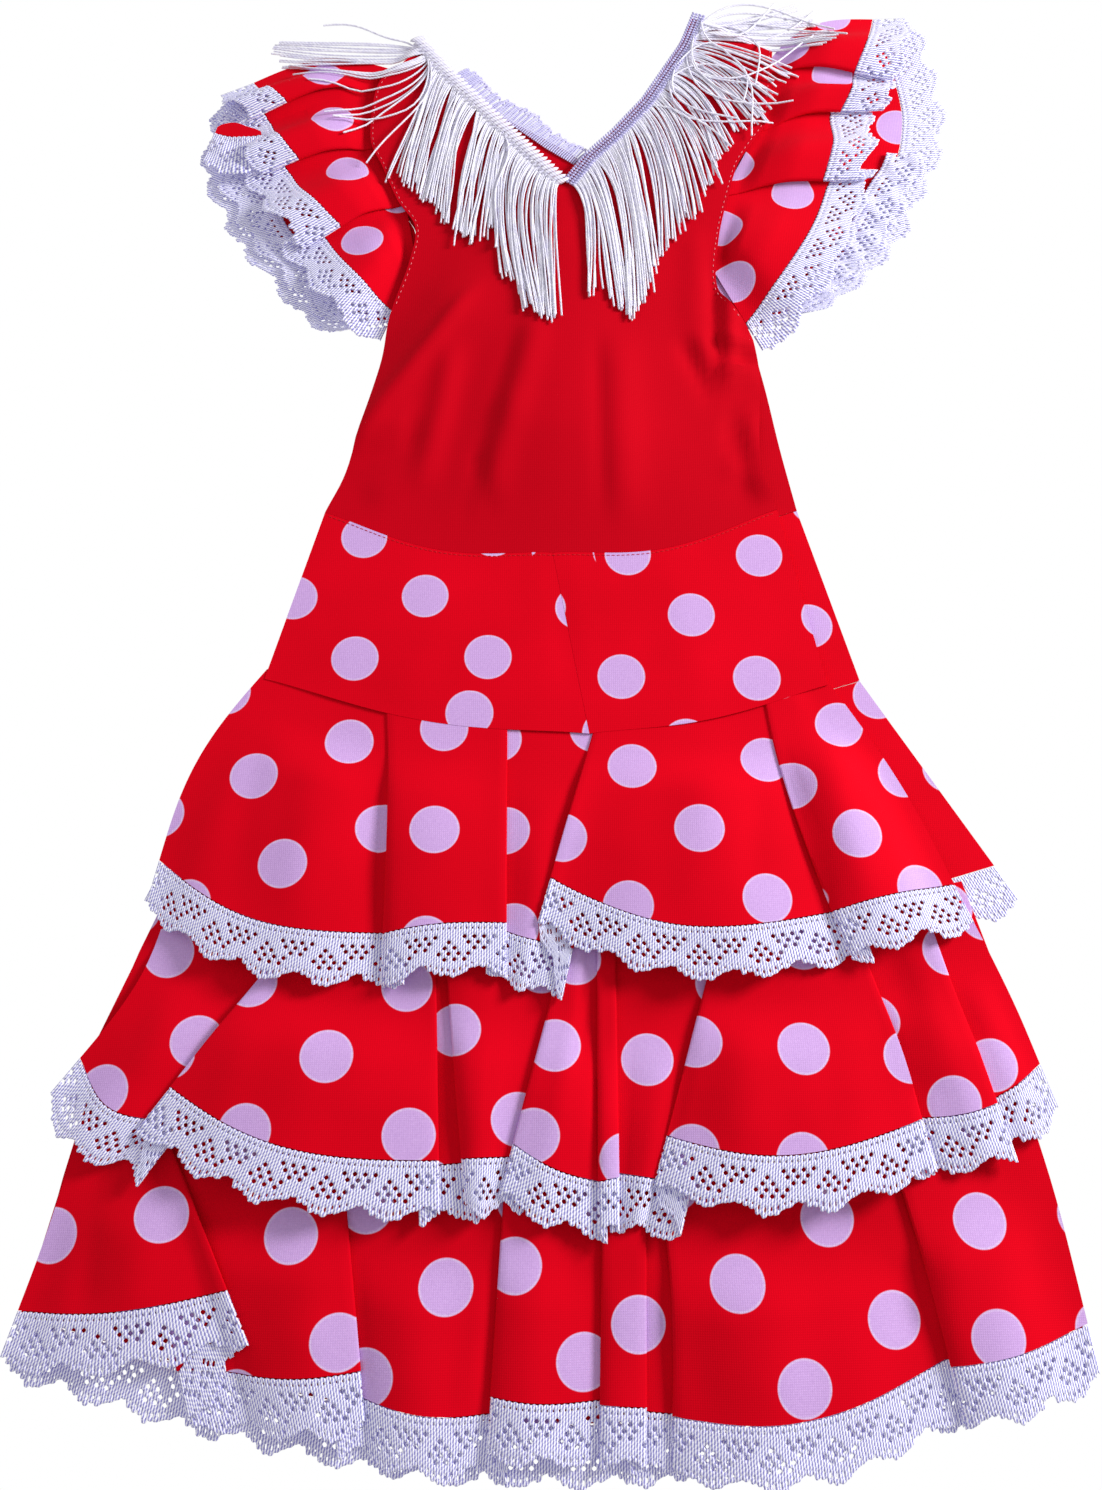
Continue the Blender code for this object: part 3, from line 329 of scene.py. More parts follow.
# Point is the share of the braid at which it meets the point of the V.
Fringe = namedtuple("Fringe", "name braid point hangs loose seed loops")
FRINGE_LEFT = Fringe("fringe_front_left", BRAID_LEFT, 1.0, HANG_LEFT, LOOSE_LEFT, 3, LOOPS_LEFT)
FRINGE_RIGHT = Fringe("fringe_front_right", BRAID_RIGHT, 0.0, HANG_RIGHT, LOOSE_RIGHT, 5, LOOPS_RIGHT)
# How sewing is laid on the cloth: points along it, how far round each it feels for the cloth, its heights.
Lay = namedtuple("Lay", "points spread lowest lift")
BRAID_LAY = Lay(40, 3, 5.6, 1.6)
STITCH_LAY = Lay(120, 0, 1.0, 0.1)

# The crumpled bit of the left sleeve's under edge.
TURNED_SEAM = [(-216, 339), (-206, 336.5), (-197, 336), (-186, 338)]
TURNED_WIDE = 11.0
TURNED_LOW = 3.0
TURNED_CLEAR = 0.9

# Soft ridges, and troughs where high is below 0, each from one point to another.
CREASES_1 = [
    Crease(-159, -45, -170, -153, 10, -1.3),
    Crease(-129, -65, -135, -164, 14, 1.4),
    Crease(-103, -73, -97, -164, 9, -0.9),
    Crease(85, -73, 74, -167, 16, 1.6),
    Crease(116, -96, 109, -149, 8, -0.9),
    Crease(153, -65, 165, -156, 12, 1.5),
    Crease(189, -88, 205, -160, 10, -1.4),
    Crease(-13, -88, -9, -156, 7, 0.9),
]
CREASES_2 = [
    Crease(-209, -197, -220, -257, 8, -1.1),
    Crease(-156, -222, -168, -281, 12, 1.3),
    Crease(-115, -218, -108, -288, 10, -0.7),
    Crease(-63, -206, -52, -288, 9, -1.2),
    Crease(-42, -218, -37, -281, 8, 1.0),
    Crease(19, -210, 19, -288, 8, 1.2),
    Crease(52, -214, 50, -292, 8, 1.0),
    Crease(101, -218, 94, -281, 14, 1.6),
    Crease(142, -210, 144, -281, 10, -0.9),
    Crease(192, -210, 200, -254, 8, 1.2),
    Crease(210, -206, 218, -234, 6, -1.0),
]
CREASES_3 = [
    Crease(-230, -311, -229, -362, 7, -1.4),
    Crease(-206, -326, -204, -362, 10, 1.3),
    Crease(-149, -329, -142, -376, 10, -0.8),
    Crease(-114, -329, -119, -383, 12, 1.6),
    Crease(-28, -329, -38, -407, 6, 1.9),
    Crease(-65, -333, -65, -404, 12, 1.0),
    Crease(11, -337, 10, -404, 10, 1.2),
    Crease(120, -329, 108, -407, 18, 2.2),
    Crease(77, -340, 71, -407, 10, -1.0),
    Crease(174, -337, 178, -376, 9, -1.6),
    Crease(197, -318, 200, -390, 8, 1.3),
    Crease(242, -318, 243, -376, 10, -1.0),
]
CHEST_CREASES = [
    Crease(2, 300, 8, 100, 58, 8.5),
    Crease(-38, 238, -113, 124, 22, 6.5),
    Crease(-42, 226, -116, 119, 5.0, 3.8),
    Crease(-6, 205, -23, 138, 10, 3.2),
    Crease(-20, 150, -37, 84, 10, 3.0),
    Crease(-17, 204, -46, 84, 6, -1.3),
    Crease(-57, 185, -73, 104, 8, 3.6),
    Crease(-45, 114, -35, 75, 5, -1.3),
    Crease(42, 195, 44, 80, 12, 2.4),
    Crease(29, 195, 32, 84, 5, -1.4),
    Crease(92, 275, 90, 195, 9, 1.6),
    Crease(113, 262, 111, 168, 5.5, 3.6),
    Crease(103, 250, 102, 160, 4, -1.8),
    Crease(90, 196, 105, 158, 6, 2.4),
    Crease(79, 190, 98, 150, 5, -2.2),
    Crease(103, 190, 124, 187, 4, 3.0),
    Crease(102, 178, 124, 176, 3.5, -3.0),
    Crease(103, 167, 124, 168, 4.5, 3.2),
    Crease(101, 153, 121, 160, 3.5, -3.0),
    Crease(105, 110, 133, 82, 8, 2.6),
    Crease(120, 140, 129, 88, 7, 3.0),
    Crease(109, 142, 117, 92, 6, -2.0),
    Crease(-83, 132, -113, 118, 5, 2.8),
    Crease(-75, 124, -109, 110, 4, -1.8),
    Crease(-66, 100, -104, 84, 9, 1.8),
]
YOKE_CREASES = [
    Crease(-60, 40, -80, -40, 16, 0.7),
    Crease(2, 50, 12, -30, 7, -0.7),
    Crease(70, 45, 84, -45, 14, 0.7),
]
# How far each panel arches up and how far its crest leans, from left to right or from the shoulder down.
ARCH_1 = ((6.0, 1.5), (4.5, 0.5), (2.4, 1.6), (8.0, 1.5), (6.0, 0.8))
ARCH_2 = (
    (3.5, 1.5), (7.0, 0.8), (0.8, 0.7), (3.0, 0.6), (3.0, 1.4),
    (1.0, 0.7), (3.5, 1.6), (7.0, 0.7), (3.0, 0.7), (2.0, 1.4),
)
ARCH_3 = ((5.0, 0.7), (6.0, 0.7), (6.0, 0.7), (5.0, 0.7), (2.0, 0.7), (1.0, 0.7), (7.5, 0.7), (5.0, 0.7))
ARCH_SLEEVE_LEFT = ((5.0, 1.4), (6.0, 1.4), (6.0, 1.4), (6.0, 1.4))
ARCH_SLEEVE_RIGHT = ((4.0, 1.4), (4.5, 1.4), (5.0, 1.4), (6.0, 1.4))
ROLL_ASIDE = 3.0
ROLL_WIDE = 5.0
ROLL_HIGH = 0.45
RIPPLE_BROAD = 0.45
RIPPLE_FINE = 0.16

# How a pleated piece rises between two shares of its fall: height of its middle at the top and the hem,
# height of its sides at the hem, and height of a pleat's layer at the top and the hem.
Rise = namedtuple("Rise", "top_z hem_z side_hem_z top_layer hem_layer start end")
RISE_FIRST = Rise(1.9, 7.8, 4.8, SEAM_LAYER, LAYER, 0.1, 0.76)
RISE_SECOND = Rise(3.1, 7.8, 4.8, LAYER, LAYER, 0.4, 0.82)
RISE_THIRD = Rise(3.1, 1.9, 1.9, LAYER, LAYER, 0.4, 0.82)
RISE_SLEEVE = Rise(1.9, 4.1, 1.9, SEAM_LAYER, 2.4, 0.12, 0.72)

Front = namedtuple("Front", "name folds rise spots creases humps show_from rests_on")
FRONTS = [
    Front("flounce_1_front", FLOUNCE_1, RISE_FIRST, SPOTS_1, CREASES_1, ARCH_1, 0.2,
          ["flounce_1_back", "flounce_2_front"]),
    Front("flounce_2_front", FLOUNCE_2, RISE_SECOND, SPOTS_2, CREASES_2, ARCH_2, 0.42,
          ["flounce_2_back", "flounce_3_front"]),
    Front("flounce_3_front", FLOUNCE_3, RISE_THIRD, SPOTS_3, CREASES_3, ARCH_3, 0.42, ["flounce_3_back"]),
    Front("sleeve_left_top", SLEEVE_LEFT, RISE_SLEEVE, SPOTS_SLEEVE_LEFT, [], ARCH_SLEEVE_LEFT, 0.12,
          ["sleeve_left_under"]),
    Front("sleeve_right_top", SLEEVE_RIGHT, RISE_SLEEVE, SPOTS_SLEEVE_RIGHT, [], ARCH_SLEEVE_RIGHT, 0.12,
          ["sleeve_right_under"]),
]

# Stage, in metres
FLOOR_HALF = 3
FLOOR_Z = -0.0005
ROOM_LIGHT = 0.49
CAMERA_PLACE = (0.001, -0.300, 0.724)
CAMERA_TILT = math.radians(17.5)
CAMERA_LENS = 32.617
CAMERA_SENSOR = 36.0


def smooth(value):
    """0 below 0, 1 above 1, and an even curve between."""
    value = np.clip(value, 0.0, 1.0)
    return value * value * (3.0 - 2.0 * value)


def unit(vector):
    return vector / max(np.hypot(vector[0], vector[1]), 1e-9)


def relief(points, creases):
    """Height that soft creases add at some places: a ridge or trough along each, fading at its ends."""
    out = np.zeros(len(points))
    for crease in creases:
        start = np.array([crease.from_x, crease.from_y], float)
        along = np.array([crease.to_x, crease.to_y], float) - start
        length = np.hypot(*along)
        offset = points - start
        share = (offset @ along) / length**2
        across = np.abs(offset[:, 0] * along[1] - offset[:, 1] * along[0]) / length
        fade = smooth((share + 0.05) / 0.35) * smooth((1.25 - share) / 0.4)
        out += crease.high * np.exp(-(across / crease.wide) ** 2) * fade
    return out


def arch(points, folds, humps):
    """A lopsided hump over each panel, nothing at the folds, from its height and its lean to the far side."""
    out = np.zeros(len(points))
    sides = []
    for fold in folds:
        start = np.array([fold.top_x, fold.top_y], float)
        along = np.array([fold.left_x + fold.right_x, fold.left_y + fold.right_y]) / 2 - start
        offset = points - start
        sides.append((offset[:, 0] * along[1] - offset[:, 1] * along[0]) / np.hypot(*along))
    way = -1 if sides[0].mean() > 0 else 1
    for before, after, (high, lean) in zip(sides, sides[1:], humps):
        first, last = -way * before, way * after
        inside = (first > 0) & (last > 0)
        share = np.where(inside, first / np.maximum(first + last, 1e-6), 0.0)
        out += np.where(inside, high * np.sin(np.pi * share**lean), 0.0)
    return out


def fold_ridges(folds):
    """A soft roll along each pleat's edge, on the panel that lies on top."""
    ridges = []
    for fold in folds:
        if fold.over == SIDE:
            continue
        side = 1 if fold.over == RIGHT_OVER else -1
        hem = (fold.right_x, fold.right_y) if side == 1 else (fold.left_x, fold.left_y)
        shift = side * ROLL_ASIDE
        ridges.append(Crease(fold.top_x + shift, fold.top_y, hem[0] + shift, hem[1], ROLL_WIDE, ROLL_HIGH))
    return ridges


def ripple(points):
    """The slight unevenness of cloth that has been dropped on a floor."""
    x, y = points[:, 0], points[:, 1]
    broad = np.sin(x / 31 + y / 57 + 0.6) * np.sin(y / 38 - x / 83 + 1.9)
    fine = np.sin(x / 11.3 - y / 29 + 2.2) * np.sin(y / 17.0 + x / 41 + 0.4)
    return RIPPLE_BROAD * broad + RIPPLE_FINE * fine


def fold_point(fold, side, fall):
    """A point of a fold, at a share of the way from its top to its hem."""
    top = np.array([fold.top_x, fold.top_y], float)
    hem = np.array(fold[2:4] if side == "left" else fold[4:6], float)
    along = hem - top
    across = unit(np.array([-along[1], along[0]]))
    return top + along * fall + across * fold.bow * math.sin(math.pi * fall)


def cover(fold, width):
    """How far a panel's held part reaches in from a fold."""
    return min(fold.depth, MOST_UNDER * width) + min(HOLD, 0.06 * width)


def panel_level(before, after, width, across):
    """Height in layers across a panel: held at 2 over the pleats that it covers."""
    first = 2.0 if before.over == RIGHT_OVER else 0.0
    last = 2.0 if after.over == LEFT_OVER else 0.0
    under = min(UNDER_HOLD, 0.25 * width)
    start = cover(before, width) if first else under
    end = width - cover(after, width) if last else width - under
    return first + (last - first) * float(smooth((across - start) / max(end - start, 1e-6)))


def pleat_row(folds, fall, step, layer):
    """One row across a pleated piece: x, y, layer, swell, normal, distance from the sides, and panel."""
    row = []
    turn = layer / 2
    far = 1e3

    def add(place, layer, swell, way, side, up, edge, panel):
        row.append((place[0], place[1], layer, swell, way[0] * side, way[1] * side, up, edge, panel))

    def add_turn(at, way, bulge, layers, up, side, panel):
        for angle in np.linspace(0, math.pi, TURN_POINTS):
            place = at + way * (bulge * turn * (math.sin(angle) - 1))
            layer = (layers[0] + layers[1]) / 2 + (layers[0] - layers[1]) / 2 * math.cos(angle)
            add(place, layer, 0.0, way, side * math.sin(angle), up * math.cos(angle), far, panel)

    def add_run(start, end, way, layer, up, panel):
        for share in np.linspace(0, 1, RUN_POINTS + 2)[1:-1]:
            add(start + (end - start) * share, layer, 0.0, way, 0.0, up, far, panel)

    ends = [(fold_point(a, "right", fall), fold_point(b, "left", fall)) for a, b in zip(folds, folds[1:])]
    ways = [unit(end - start) for start, end in ends]
    add(ends[0][0], 0.0, 0.0, ways[0], 0.0, 1.0, 0.0, 0)
    for i, (start, end) in enumerate(ends):
        before, after = folds[i], folds[i + 1]
        width = np.hypot(*(end - start))
        hem_width = np.hypot(after.left_x - before.right_x, after.left_y - before.right_y)
        count = max(3, round(hem_width / step))
        down = unit(fold_point(before, "right", 1.0) - fold_point(before, "right", 0.0))
        for share in np.arange(1, count) / count:
            sag = -before.sag * math.sin(math.pi * share) * fall**1.5
            swell = before.swell * math.sin(math.pi * share) ** 2
            if before.waves:
                swell *= 0.55 - 0.45 * math.cos(2 * math.pi * before.waves * share)
            edge = far
            if before.over == SIDE:
                edge = width * share
            if after.over == SIDE:
                edge = min(edge, width * (1 - share))
            level = panel_level(before, after, width, width * share)
            across = width * share if before.over == SIDE else max(width * share, EDGE_CLEAR)
            add(start + ways[i] * across + down * sag, level, swell, ways[i], 0.0, 1.0, edge, i)
        if after.over == RIGHT_OVER:
            way, nxt = ways[i], ways[i + 1]
            deep = min(after.depth, MOST_UNDER * np.hypot(*(ends[i + 1][1] - ends[i + 1][0])))
            inner, outer = end + way * deep, ends[i + 1][0]
            add(end, 0.0, 0.0, way, 0.0, 1.0, far, i)
            add_run(end, inner - way * turn, way, 0.0, 1.0, i)
            add_turn(inner, way, 1, (0.0, 1.0), 1.0, -1.0, i)
            add_run(inner - way * turn, outer + nxt * turn, way, 1.0, -1.0, i + 1)
            add_turn(outer, nxt, -1, (1.0, 2.0), -1.0, -1.0, i + 1)
        elif after.over == LEFT_OVER:
            way, nxt = ways[i], ways[i + 1]
            deep = min(after.depth, MOST_UNDER * width)
            inner, outer = ends[i + 1][0] - nxt * deep, end
            add_turn(outer, way, 1, (2.0, 1.0), 1.0, 1.0, i)
            add_run(outer - way * turn, inner + nxt * turn, way, 1.0, -1.0, i)
            add_turn(inner, nxt, -1, (1.0, 0.0), -1.0, 1.0, i + 1)
            add_run(inner + nxt * turn, ends[i + 1][0], nxt, 0.0, 1.0, i + 1)
            add(ends[i + 1][0], 0.0, 0.0, nxt, 0.0, 1.0, far, i + 1)
        else:
            add(end, 0.0, 0.0, ways[i], 0.0, 1.0, 0.0, i)
    return np.array(row)


def heights(row, base, side_base, layer, swell_share):
    """Heights of a row: low at the sides, and base plus its layers and swell elsewhere."""
    share = smooth(row[:, 7] / SIDE_RISE)
    return side_base + (base - side_base + row[:, 2] * layer + row[:, 3] * swell_share) * share


def grid_quads(rows, columns):
    first = (np.arange(rows - 1)[:, None] * columns + np.arange(columns - 1)).ravel()
    return np.column_stack([first, first + 1, first + 1 + columns, first + columns])


def make_piece(name, points, quads, material, uv=None, soft_rim=False):
    """A piece from points in millimetres and quads, with its map of the cloth on each corner."""
    corner = points[quads]
    middle = points.mean(axis=0)
    facing = np.cross(corner[:, 2] - corner[:, 0], corner[:, 3] - corner[:, 1])
    if np.einsum("ij,ij->", corner.mean(axis=1) - middle, facing) < 0:
        quads = quads[:, ::-1]
        uv = None if uv is None else uv[:, ::-1]
    mesh = bpy.data.meshes.new(name)
    mesh.vertices.add(len(points))
    mesh.vertices.foreach_set("co", (points * MM).astype(np.float32).ravel())
    mesh.loops.add(quads.size)
    mesh.loops.foreach_set("vertex_index", np.ascontiguousarray(quads, dtype=np.int32).ravel())
    mesh.polygons.add(len(quads))
    mesh.polygons.foreach_set("loop_start", np.arange(0, quads.size, 4, dtype=np.int32))
    if uv is not None:
        layer = mesh.uv_layers.new(name="cloth")
        layer.data.foreach_set("uv", np.ascontiguousarray(uv, dtype=np.float32).ravel())
    mesh.update(calc_edges=True)
    mesh.validate()
    mesh.polygons.foreach_set("use_smooth", np.ones(len(quads), bool))
    if not soft_rim:
        mesh.set_sharp_from_angle(angle=RIM_ANGLE)
    mesh.materials.append(material)
    made = bpy.data.objects.new(name, mesh)
    bpy.context.scene.collection.objects.link(made)
    return made


def make_wall(name, points, normals, quads, material, thick, uv=None, soft_rim=False):
    """A closed wall: the points moved half its thickness each way, and its rim closed."""
    count = len(points)
    both = np.concatenate([points + normals * thick / 2, points - normals * thick / 2])
    starts = quads.ravel()
    ends = np.roll(quads, -1, axis=1).ravel()
    lonely = ~np.isin(starts.astype(np.int64) * count + ends, ends.astype(np.int64) * count + starts)
    a, b = starts[lonely], ends[lonely]
    rim = np.column_stack([b, a, a + count, b + count])
    walls = np.concatenate([quads, quads[:, ::-1] + count, rim])
    if uv is not None:
        corner = np.arange(quads.size).reshape(quads.shape)
        first = corner.ravel()[lonely]
        second = np.roll(corner, -1, axis=1).ravel()[lonely]
        flat = uv.reshape(-1, 2)
        rim_uv = np.stack([flat[second], flat[first], flat[first], flat[second]], axis=1)
        uv = np.concatenate([uv, uv[:, ::-1], rim_uv])
    return make_piece(name, both, walls, material, uv, soft_rim)


def nearest_spot(places, spots):
    """The centre of the spot nearest to each place: one of a list of centres, or of an even pattern."""
    if isinstance(spots, Spots):
        steps = np.array([[spots.right_x, spots.up_x], [spots.right_y, spots.up_y]], float)
        return (spots.x, spots.y) + np.round((places - (spots.x, spots.y)) @ np.linalg.inv(steps).T) @ steps.T
    centres = np.array(spots, float)
    away = np.linalg.norm(places[:, None] - centres, axis=2)
    return centres[away.argmin(axis=1)]


def spot_map(points, quads, panels, spots):
    """Where each corner of each quad lies from the spot nearest to the quad, in spot pitches."""
    corner = points[quads][:, :, :2]
    centre = np.zeros((len(quads), 2))
    for panel, own in enumerate(spots):
        there = panels == panel
        centre[there] = nearest_spot(corner[there].mean(axis=1), own)
    return (corner - centre[:, None, :]) / SPOT_PITCH


def finish_cloth(piece, node, grid, rests_on):
    """Puts a cloth piece in its CAD node's place and hides the node."""
    steps = np.linalg.norm(np.diff(grid, axis=1), axis=2).sum(axis=1)
    falls = np.linalg.norm(np.diff(grid, axis=0), axis=2).sum(axis=0)
    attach(piece, "root")
    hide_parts(node)
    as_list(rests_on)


def finish_trim(piece, node=None):
    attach(piece, "root")
    if node:
        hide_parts(node)


def hex_colour(text):
    """An sRGB hex value as linear light."""
    parts = [int(text[k:k + 2], 16) / 255 for k in (1, 3, 5)]
    return tuple(c / 12.92 if c <= 0.04045 else ((c + 0.055) / 1.055) ** 2.4 for c in parts) + (1.0,)


def add(tree, kind, inputs=None, **settings):
    """Adds a node with its settings, values and links."""
    made = tree.nodes.new(kind)
    for name, value in settings.items():
        setattr(made, name, value)
    for key, value in (inputs or {}).items():
        if isinstance(value, bpy.types.NodeSocket):
            tree.links.new(value, made.inputs[key])
        else:
            made.inputs[key].default_value = value
    return made


def new_material(name, rough, sheen, shine, sheen_tint="#ffffff"):
    material = bpy.data.materials.new(name)
    material.use_nodes = True
    shader = material.node_tree.nodes["Principled BSDF"]
    shader.inputs["Roughness"].default_value = rough
    shader.inputs["Sheen Weight"].default_value = sheen
    shader.inputs["Sheen Roughness"].default_value = 0.5
    shader.inputs["Sheen Tint"].default_value = hex_colour(sheen_tint)
    shader.inputs["IOR"].default_value = 1.5
    shader.inputs["Specular IOR Level"].default_value = shine
    return material, material.node_tree, shader


def join(tree, shader, colour, height, strength, depth):
    """Joins a colour and a bump of some strength, depth metres deep, to a material's shader."""
    tree.links.new(colour, shader.inputs["Base Color"])
    bump = add(tree, "ShaderNodeBump", {"Strength": strength, "Distance": depth, "Height": height}).outputs[0]
    tree.links.new(bump, shader.inputs["Normal"])


# Yarn and thread counts are finer than the picture can show, so they are drawn about twice as coarse.
WEAVE_PITCH = 1.1
KNIT_PITCH = 1.3
BAND_PERIOD = 0.314159
THREAD_GLOW = 0.0015
# Strength of a faint emission that paints a glow onto the lace to lighten its shade; the lace is no lamp.
PAINTED_LACE_GLOW = 0.09


def printed_cotton():
    """Plain-woven cotton, dyed red and printed with pale lilac spots: matt, with a faint grain of threads."""
    material, tree, shader = new_material("printed_cotton", 0.85, 0.04, 0.04, "#ff5a78")
    place = add(tree, "ShaderNodeUVMap", uv_map="cloth").outputs[0]
    flat = add(tree, "ShaderNodeVectorMath", {0: place, 1: (SPOT_PITCH, SPOT_PITCH, 0.0)},
               operation="MULTIPLY").outputs[0]
    away = add(tree, "ShaderNodeVectorMath", {0: flat}, operation="LENGTH").outputs["Value"]
    radius = SPOT_WIDE / 2
    spot = add(tree, "ShaderNodeMapRange", {0: away, 1: radius - 0.35, 2: radius + 0.3, 3: 1.0, 4: 0.0},
               interpolation_type="SMOOTHSTEP").outputs[0]
    rim = add(tree, "ShaderNodeMapRange", {0: away, 1: radius - 1.6, 2: radius - 0.4, 3: 0.0, 4: 1.0},
              interpolation_type="SMOOTHSTEP").outputs[0]
    at = add(tree, "ShaderNodeTexCoord").outputs["Object"]
    bands = []
    for direction in ("X", "Y"):
        bands.append(add(tree, "ShaderNodeTexWave", {
            "Vector": at, "Scale": BAND_PERIOD / (WEAVE_PITCH * MM), "Distortion": 0.6,
            "Detail": 1.0, "Detail Scale": 0.6,
        }, bands_direction=direction).outputs["Fac"])
    weave = add(tree, "ShaderNodeMath", {0: bands[0], 1: bands[1]}, operation="MULTIPLY").outputs[0]
    broad = add(tree, "ShaderNodeTexNoise", {"Vector": at, "Scale": 14.0, "Detail": 2.0}).outputs["Fac"]
    grain = add(tree, "ShaderNodeTexNoise", {"Vector": at, "Scale": 900.0, "Detail": 1.0}).outputs["Fac"]
    red = add(tree, "ShaderNodeMix", {0: broad, 6: hex_colour("#cd0014"), 7: hex_colour("#e8001d")},
              data_type="RGBA").outputs[2]
    lilac = add(tree, "ShaderNodeMix", {0: rim, 6: hex_colour("#dab3ec"), 7: hex_colour("#eed8f8")},
                data_type="RGBA").outputs[2]
    lilac = add(tree, "ShaderNodeMix", {0: grain, 6: lilac, 7: hex_colour("#c79fdc")},
                data_type="RGBA", blend_type="MIX").outputs[2]
    both = add(tree, "ShaderNodeMix", {0: spot, 6: red, 7: lilac}, data_type="RGBA").outputs[2]
    shade = add(tree, "ShaderNodeMapRange", {0: weave, 1: 0.0, 2: 1.0, 3: 0.93, 4: 1.0}).outputs[0]
    colour = add(tree, "ShaderNodeVectorMath", {0: both, "Scale": shade}, operation="SCALE").outputs[0]
    join(tree, shader, colour, weave, 0.35, 0.0002)
    return material


def stretch_knit():
    """Fine jersey of red stretch yarn: soft, nearly matt, with close upright wales."""
    material, tree, shader = new_material("stretch_knit", 0.8, 0.08, 0.04, "#ff2040")
    place = add(tree, "ShaderNodeTexCoord").outputs["Object"]
    wales = add(tree, "ShaderNodeTexWave", {
        "Vector": place, "Scale": BAND_PERIOD / (KNIT_PITCH * MM), "Distortion": 1.2, "Detail": 1.0,
        "Detail Scale": 0.4,
    }, bands_direction="X").outputs["Fac"]
    courses = add(tree, "ShaderNodeTexWave", {
        "Vector": place, "Scale": BAND_PERIOD / (KNIT_PITCH * 0.8 * MM), "Distortion": 0.8,
    }, bands_direction="Y").outputs["Fac"]
    knit = add(tree, "ShaderNodeMath", {0: wales, 1: courses}, operation="MULTIPLY").outputs[0]
    broad = add(tree, "ShaderNodeTexNoise", {"Vector": place, "Scale": 9.0, "Detail": 2.0}).outputs["Fac"]
    red = add(tree, "ShaderNodeMix", {0: broad, 6: hex_colour("#b90014"), 7: hex_colour("#cf0019")},
              data_type="RGBA").outputs[2]
    shade = add(tree, "ShaderNodeMapRange", {0: knit, 1: 0.0, 2: 1.0, 3: 0.93, 4: 1.0}).outputs[0]
    colour = add(tree, "ShaderNodeVectorMath", {0: red, "Scale": shade}, operation="SCALE").outputs[0]
    join(tree, shader, colour, knit, 0.3, 0.0002)
    return material


def crochet_cotton():
    """Machine crochet of mercerised cotton: upright looped threads, white with a lilac cast, painted darker
    lilac shade in the crevices between threads and a faint painted glow.
    """
    material, tree, shader = new_material("crochet_cotton", 0.75, 0.1, 0.2)
    shader.inputs["Subsurface Weight"].default_value = 0.4
    shader.inputs["Subsurface Radius"].default_value = (1.0, 1.0, 1.0)
    shader.inputs["Subsurface Scale"].default_value = THREAD_GLOW
    # Painted glow: a faint lilac-white emission that lightens the lace where it lies in shade.
    shader.inputs["Emission Color"].default_value = hex_colour("#cdc8ff")
    shader.inputs["Emission Strength"].default_value = PAINTED_LACE_GLOW
    place = add(tree, "ShaderNodeUVMap", uv_map="cloth").outputs[0]
    threads = add(tree, "ShaderNodeTexWave", {
        "Vector": place, "Scale": BAND_PERIOD / 1.36, "Distortion": 2.2, "Detail": 2.0, "Detail Scale": 0.5,
    }, bands_direction="X").outputs["Fac"]
    twist = add(tree, "ShaderNodeTexWave", {
        "Vector": place, "Scale": BAND_PERIOD / 1.1, "Distortion": 3.0, "Detail": 1.0,
    }, bands_direction="DIAGONAL").outputs["Fac"]
    mixed = add(tree, "ShaderNodeMix", {0: 0.35, 2: threads, 3: twist}, data_type="FLOAT").outputs[0]
    uneven = add(tree, "ShaderNodeTexNoise", {"Vector": place, "Scale": 0.12, "Detail": 3.0}).outputs["Fac"]
    # Painted shade: a darker lilac where the thread pattern is low, for the shade in the crevices between
    # threads.
    deep = add(tree, "ShaderNodeMix", {0: uneven, 6: hex_colour("#6f6cb4"), 7: hex_colour("#9793cf")},
               data_type="RGBA").outputs[2]
    lit = add(tree, "ShaderNodeMapRange", {0: mixed, 1: 0.25, 2: 0.74, 3: 0.0, 4: 1.0}).outputs[0]
    colour = add(tree, "ShaderNodeMix", {0: lit, 6: deep, 7: hex_colour("#fbfaff")},
                 data_type="RGBA").outputs[2]
    join(tree, shader, colour, mixed, 0.45, 0.0004)
    return material


def floss(name, dark, light):
    """Twisted rayon floss: smooth strands with a silky shine, white with a cool tone mixed unevenly; the
    darker pair of colours of its shaded copy is painted shade.
    """
    material, tree, shader = new_material(name, 0.5, 0.2, 0.3)
    place = add(tree, "ShaderNodeTexCoord").outputs["Object"]
    uneven = add(tree, "ShaderNodeTexNoise", {"Vector": place, "Scale": 260.0, "Detail": 2.0}).outputs["Fac"]
    colour = add(tree, "ShaderNodeMix", {0: uneven, 6: hex_colour(dark), 7: hex_colour(light)},
                 data_type="RGBA").outputs[2]
    twist = add(tree, "ShaderNodeTexWave", {
        "Vector": place, "Scale": BAND_PERIOD / (1.2 * MM), "Distortion": 1.0,
    }, bands_direction="DIAGONAL").outputs["Fac"]
    join(tree, shader, colour, twist, 0.4, 0.0003)
    return material


def sewing_thread(name, colour):
    """Polyester sewing thread, slightly glossy."""
    material, tree, shader = new_material(name, 0.5, 0.0, 0.3)
    place = add(tree, "ShaderNodeTexCoord").outputs["Object"]
    uneven = add(tree, "ShaderNodeTexNoise", {"Vector": place, "Scale": 300.0}).outputs["Fac"]
    light, dark = hex_colour(colour[0]), hex_colour(colour[1])
    tone = add(tree, "ShaderNodeMix", {0: uneven, 6: dark, 7: light}, data_type="RGBA").outputs[2]
    tree.links.new(tone, shader.inputs["Base Color"])
    return material


def scallop(u):
    """How far the lace reaches at a place along it, and where its loops begin."""
    tipness = 1 - np.abs(u % SCALLOP - SCALLOP / 2) / (SCALLOP / 2)
    reach = LACE_WIDE - SCALLOP_DEEP * (1 - tipness)
    return reach, reach - LOOP_SHORT - (LOOP_LONG - LOOP_SHORT) * tipness


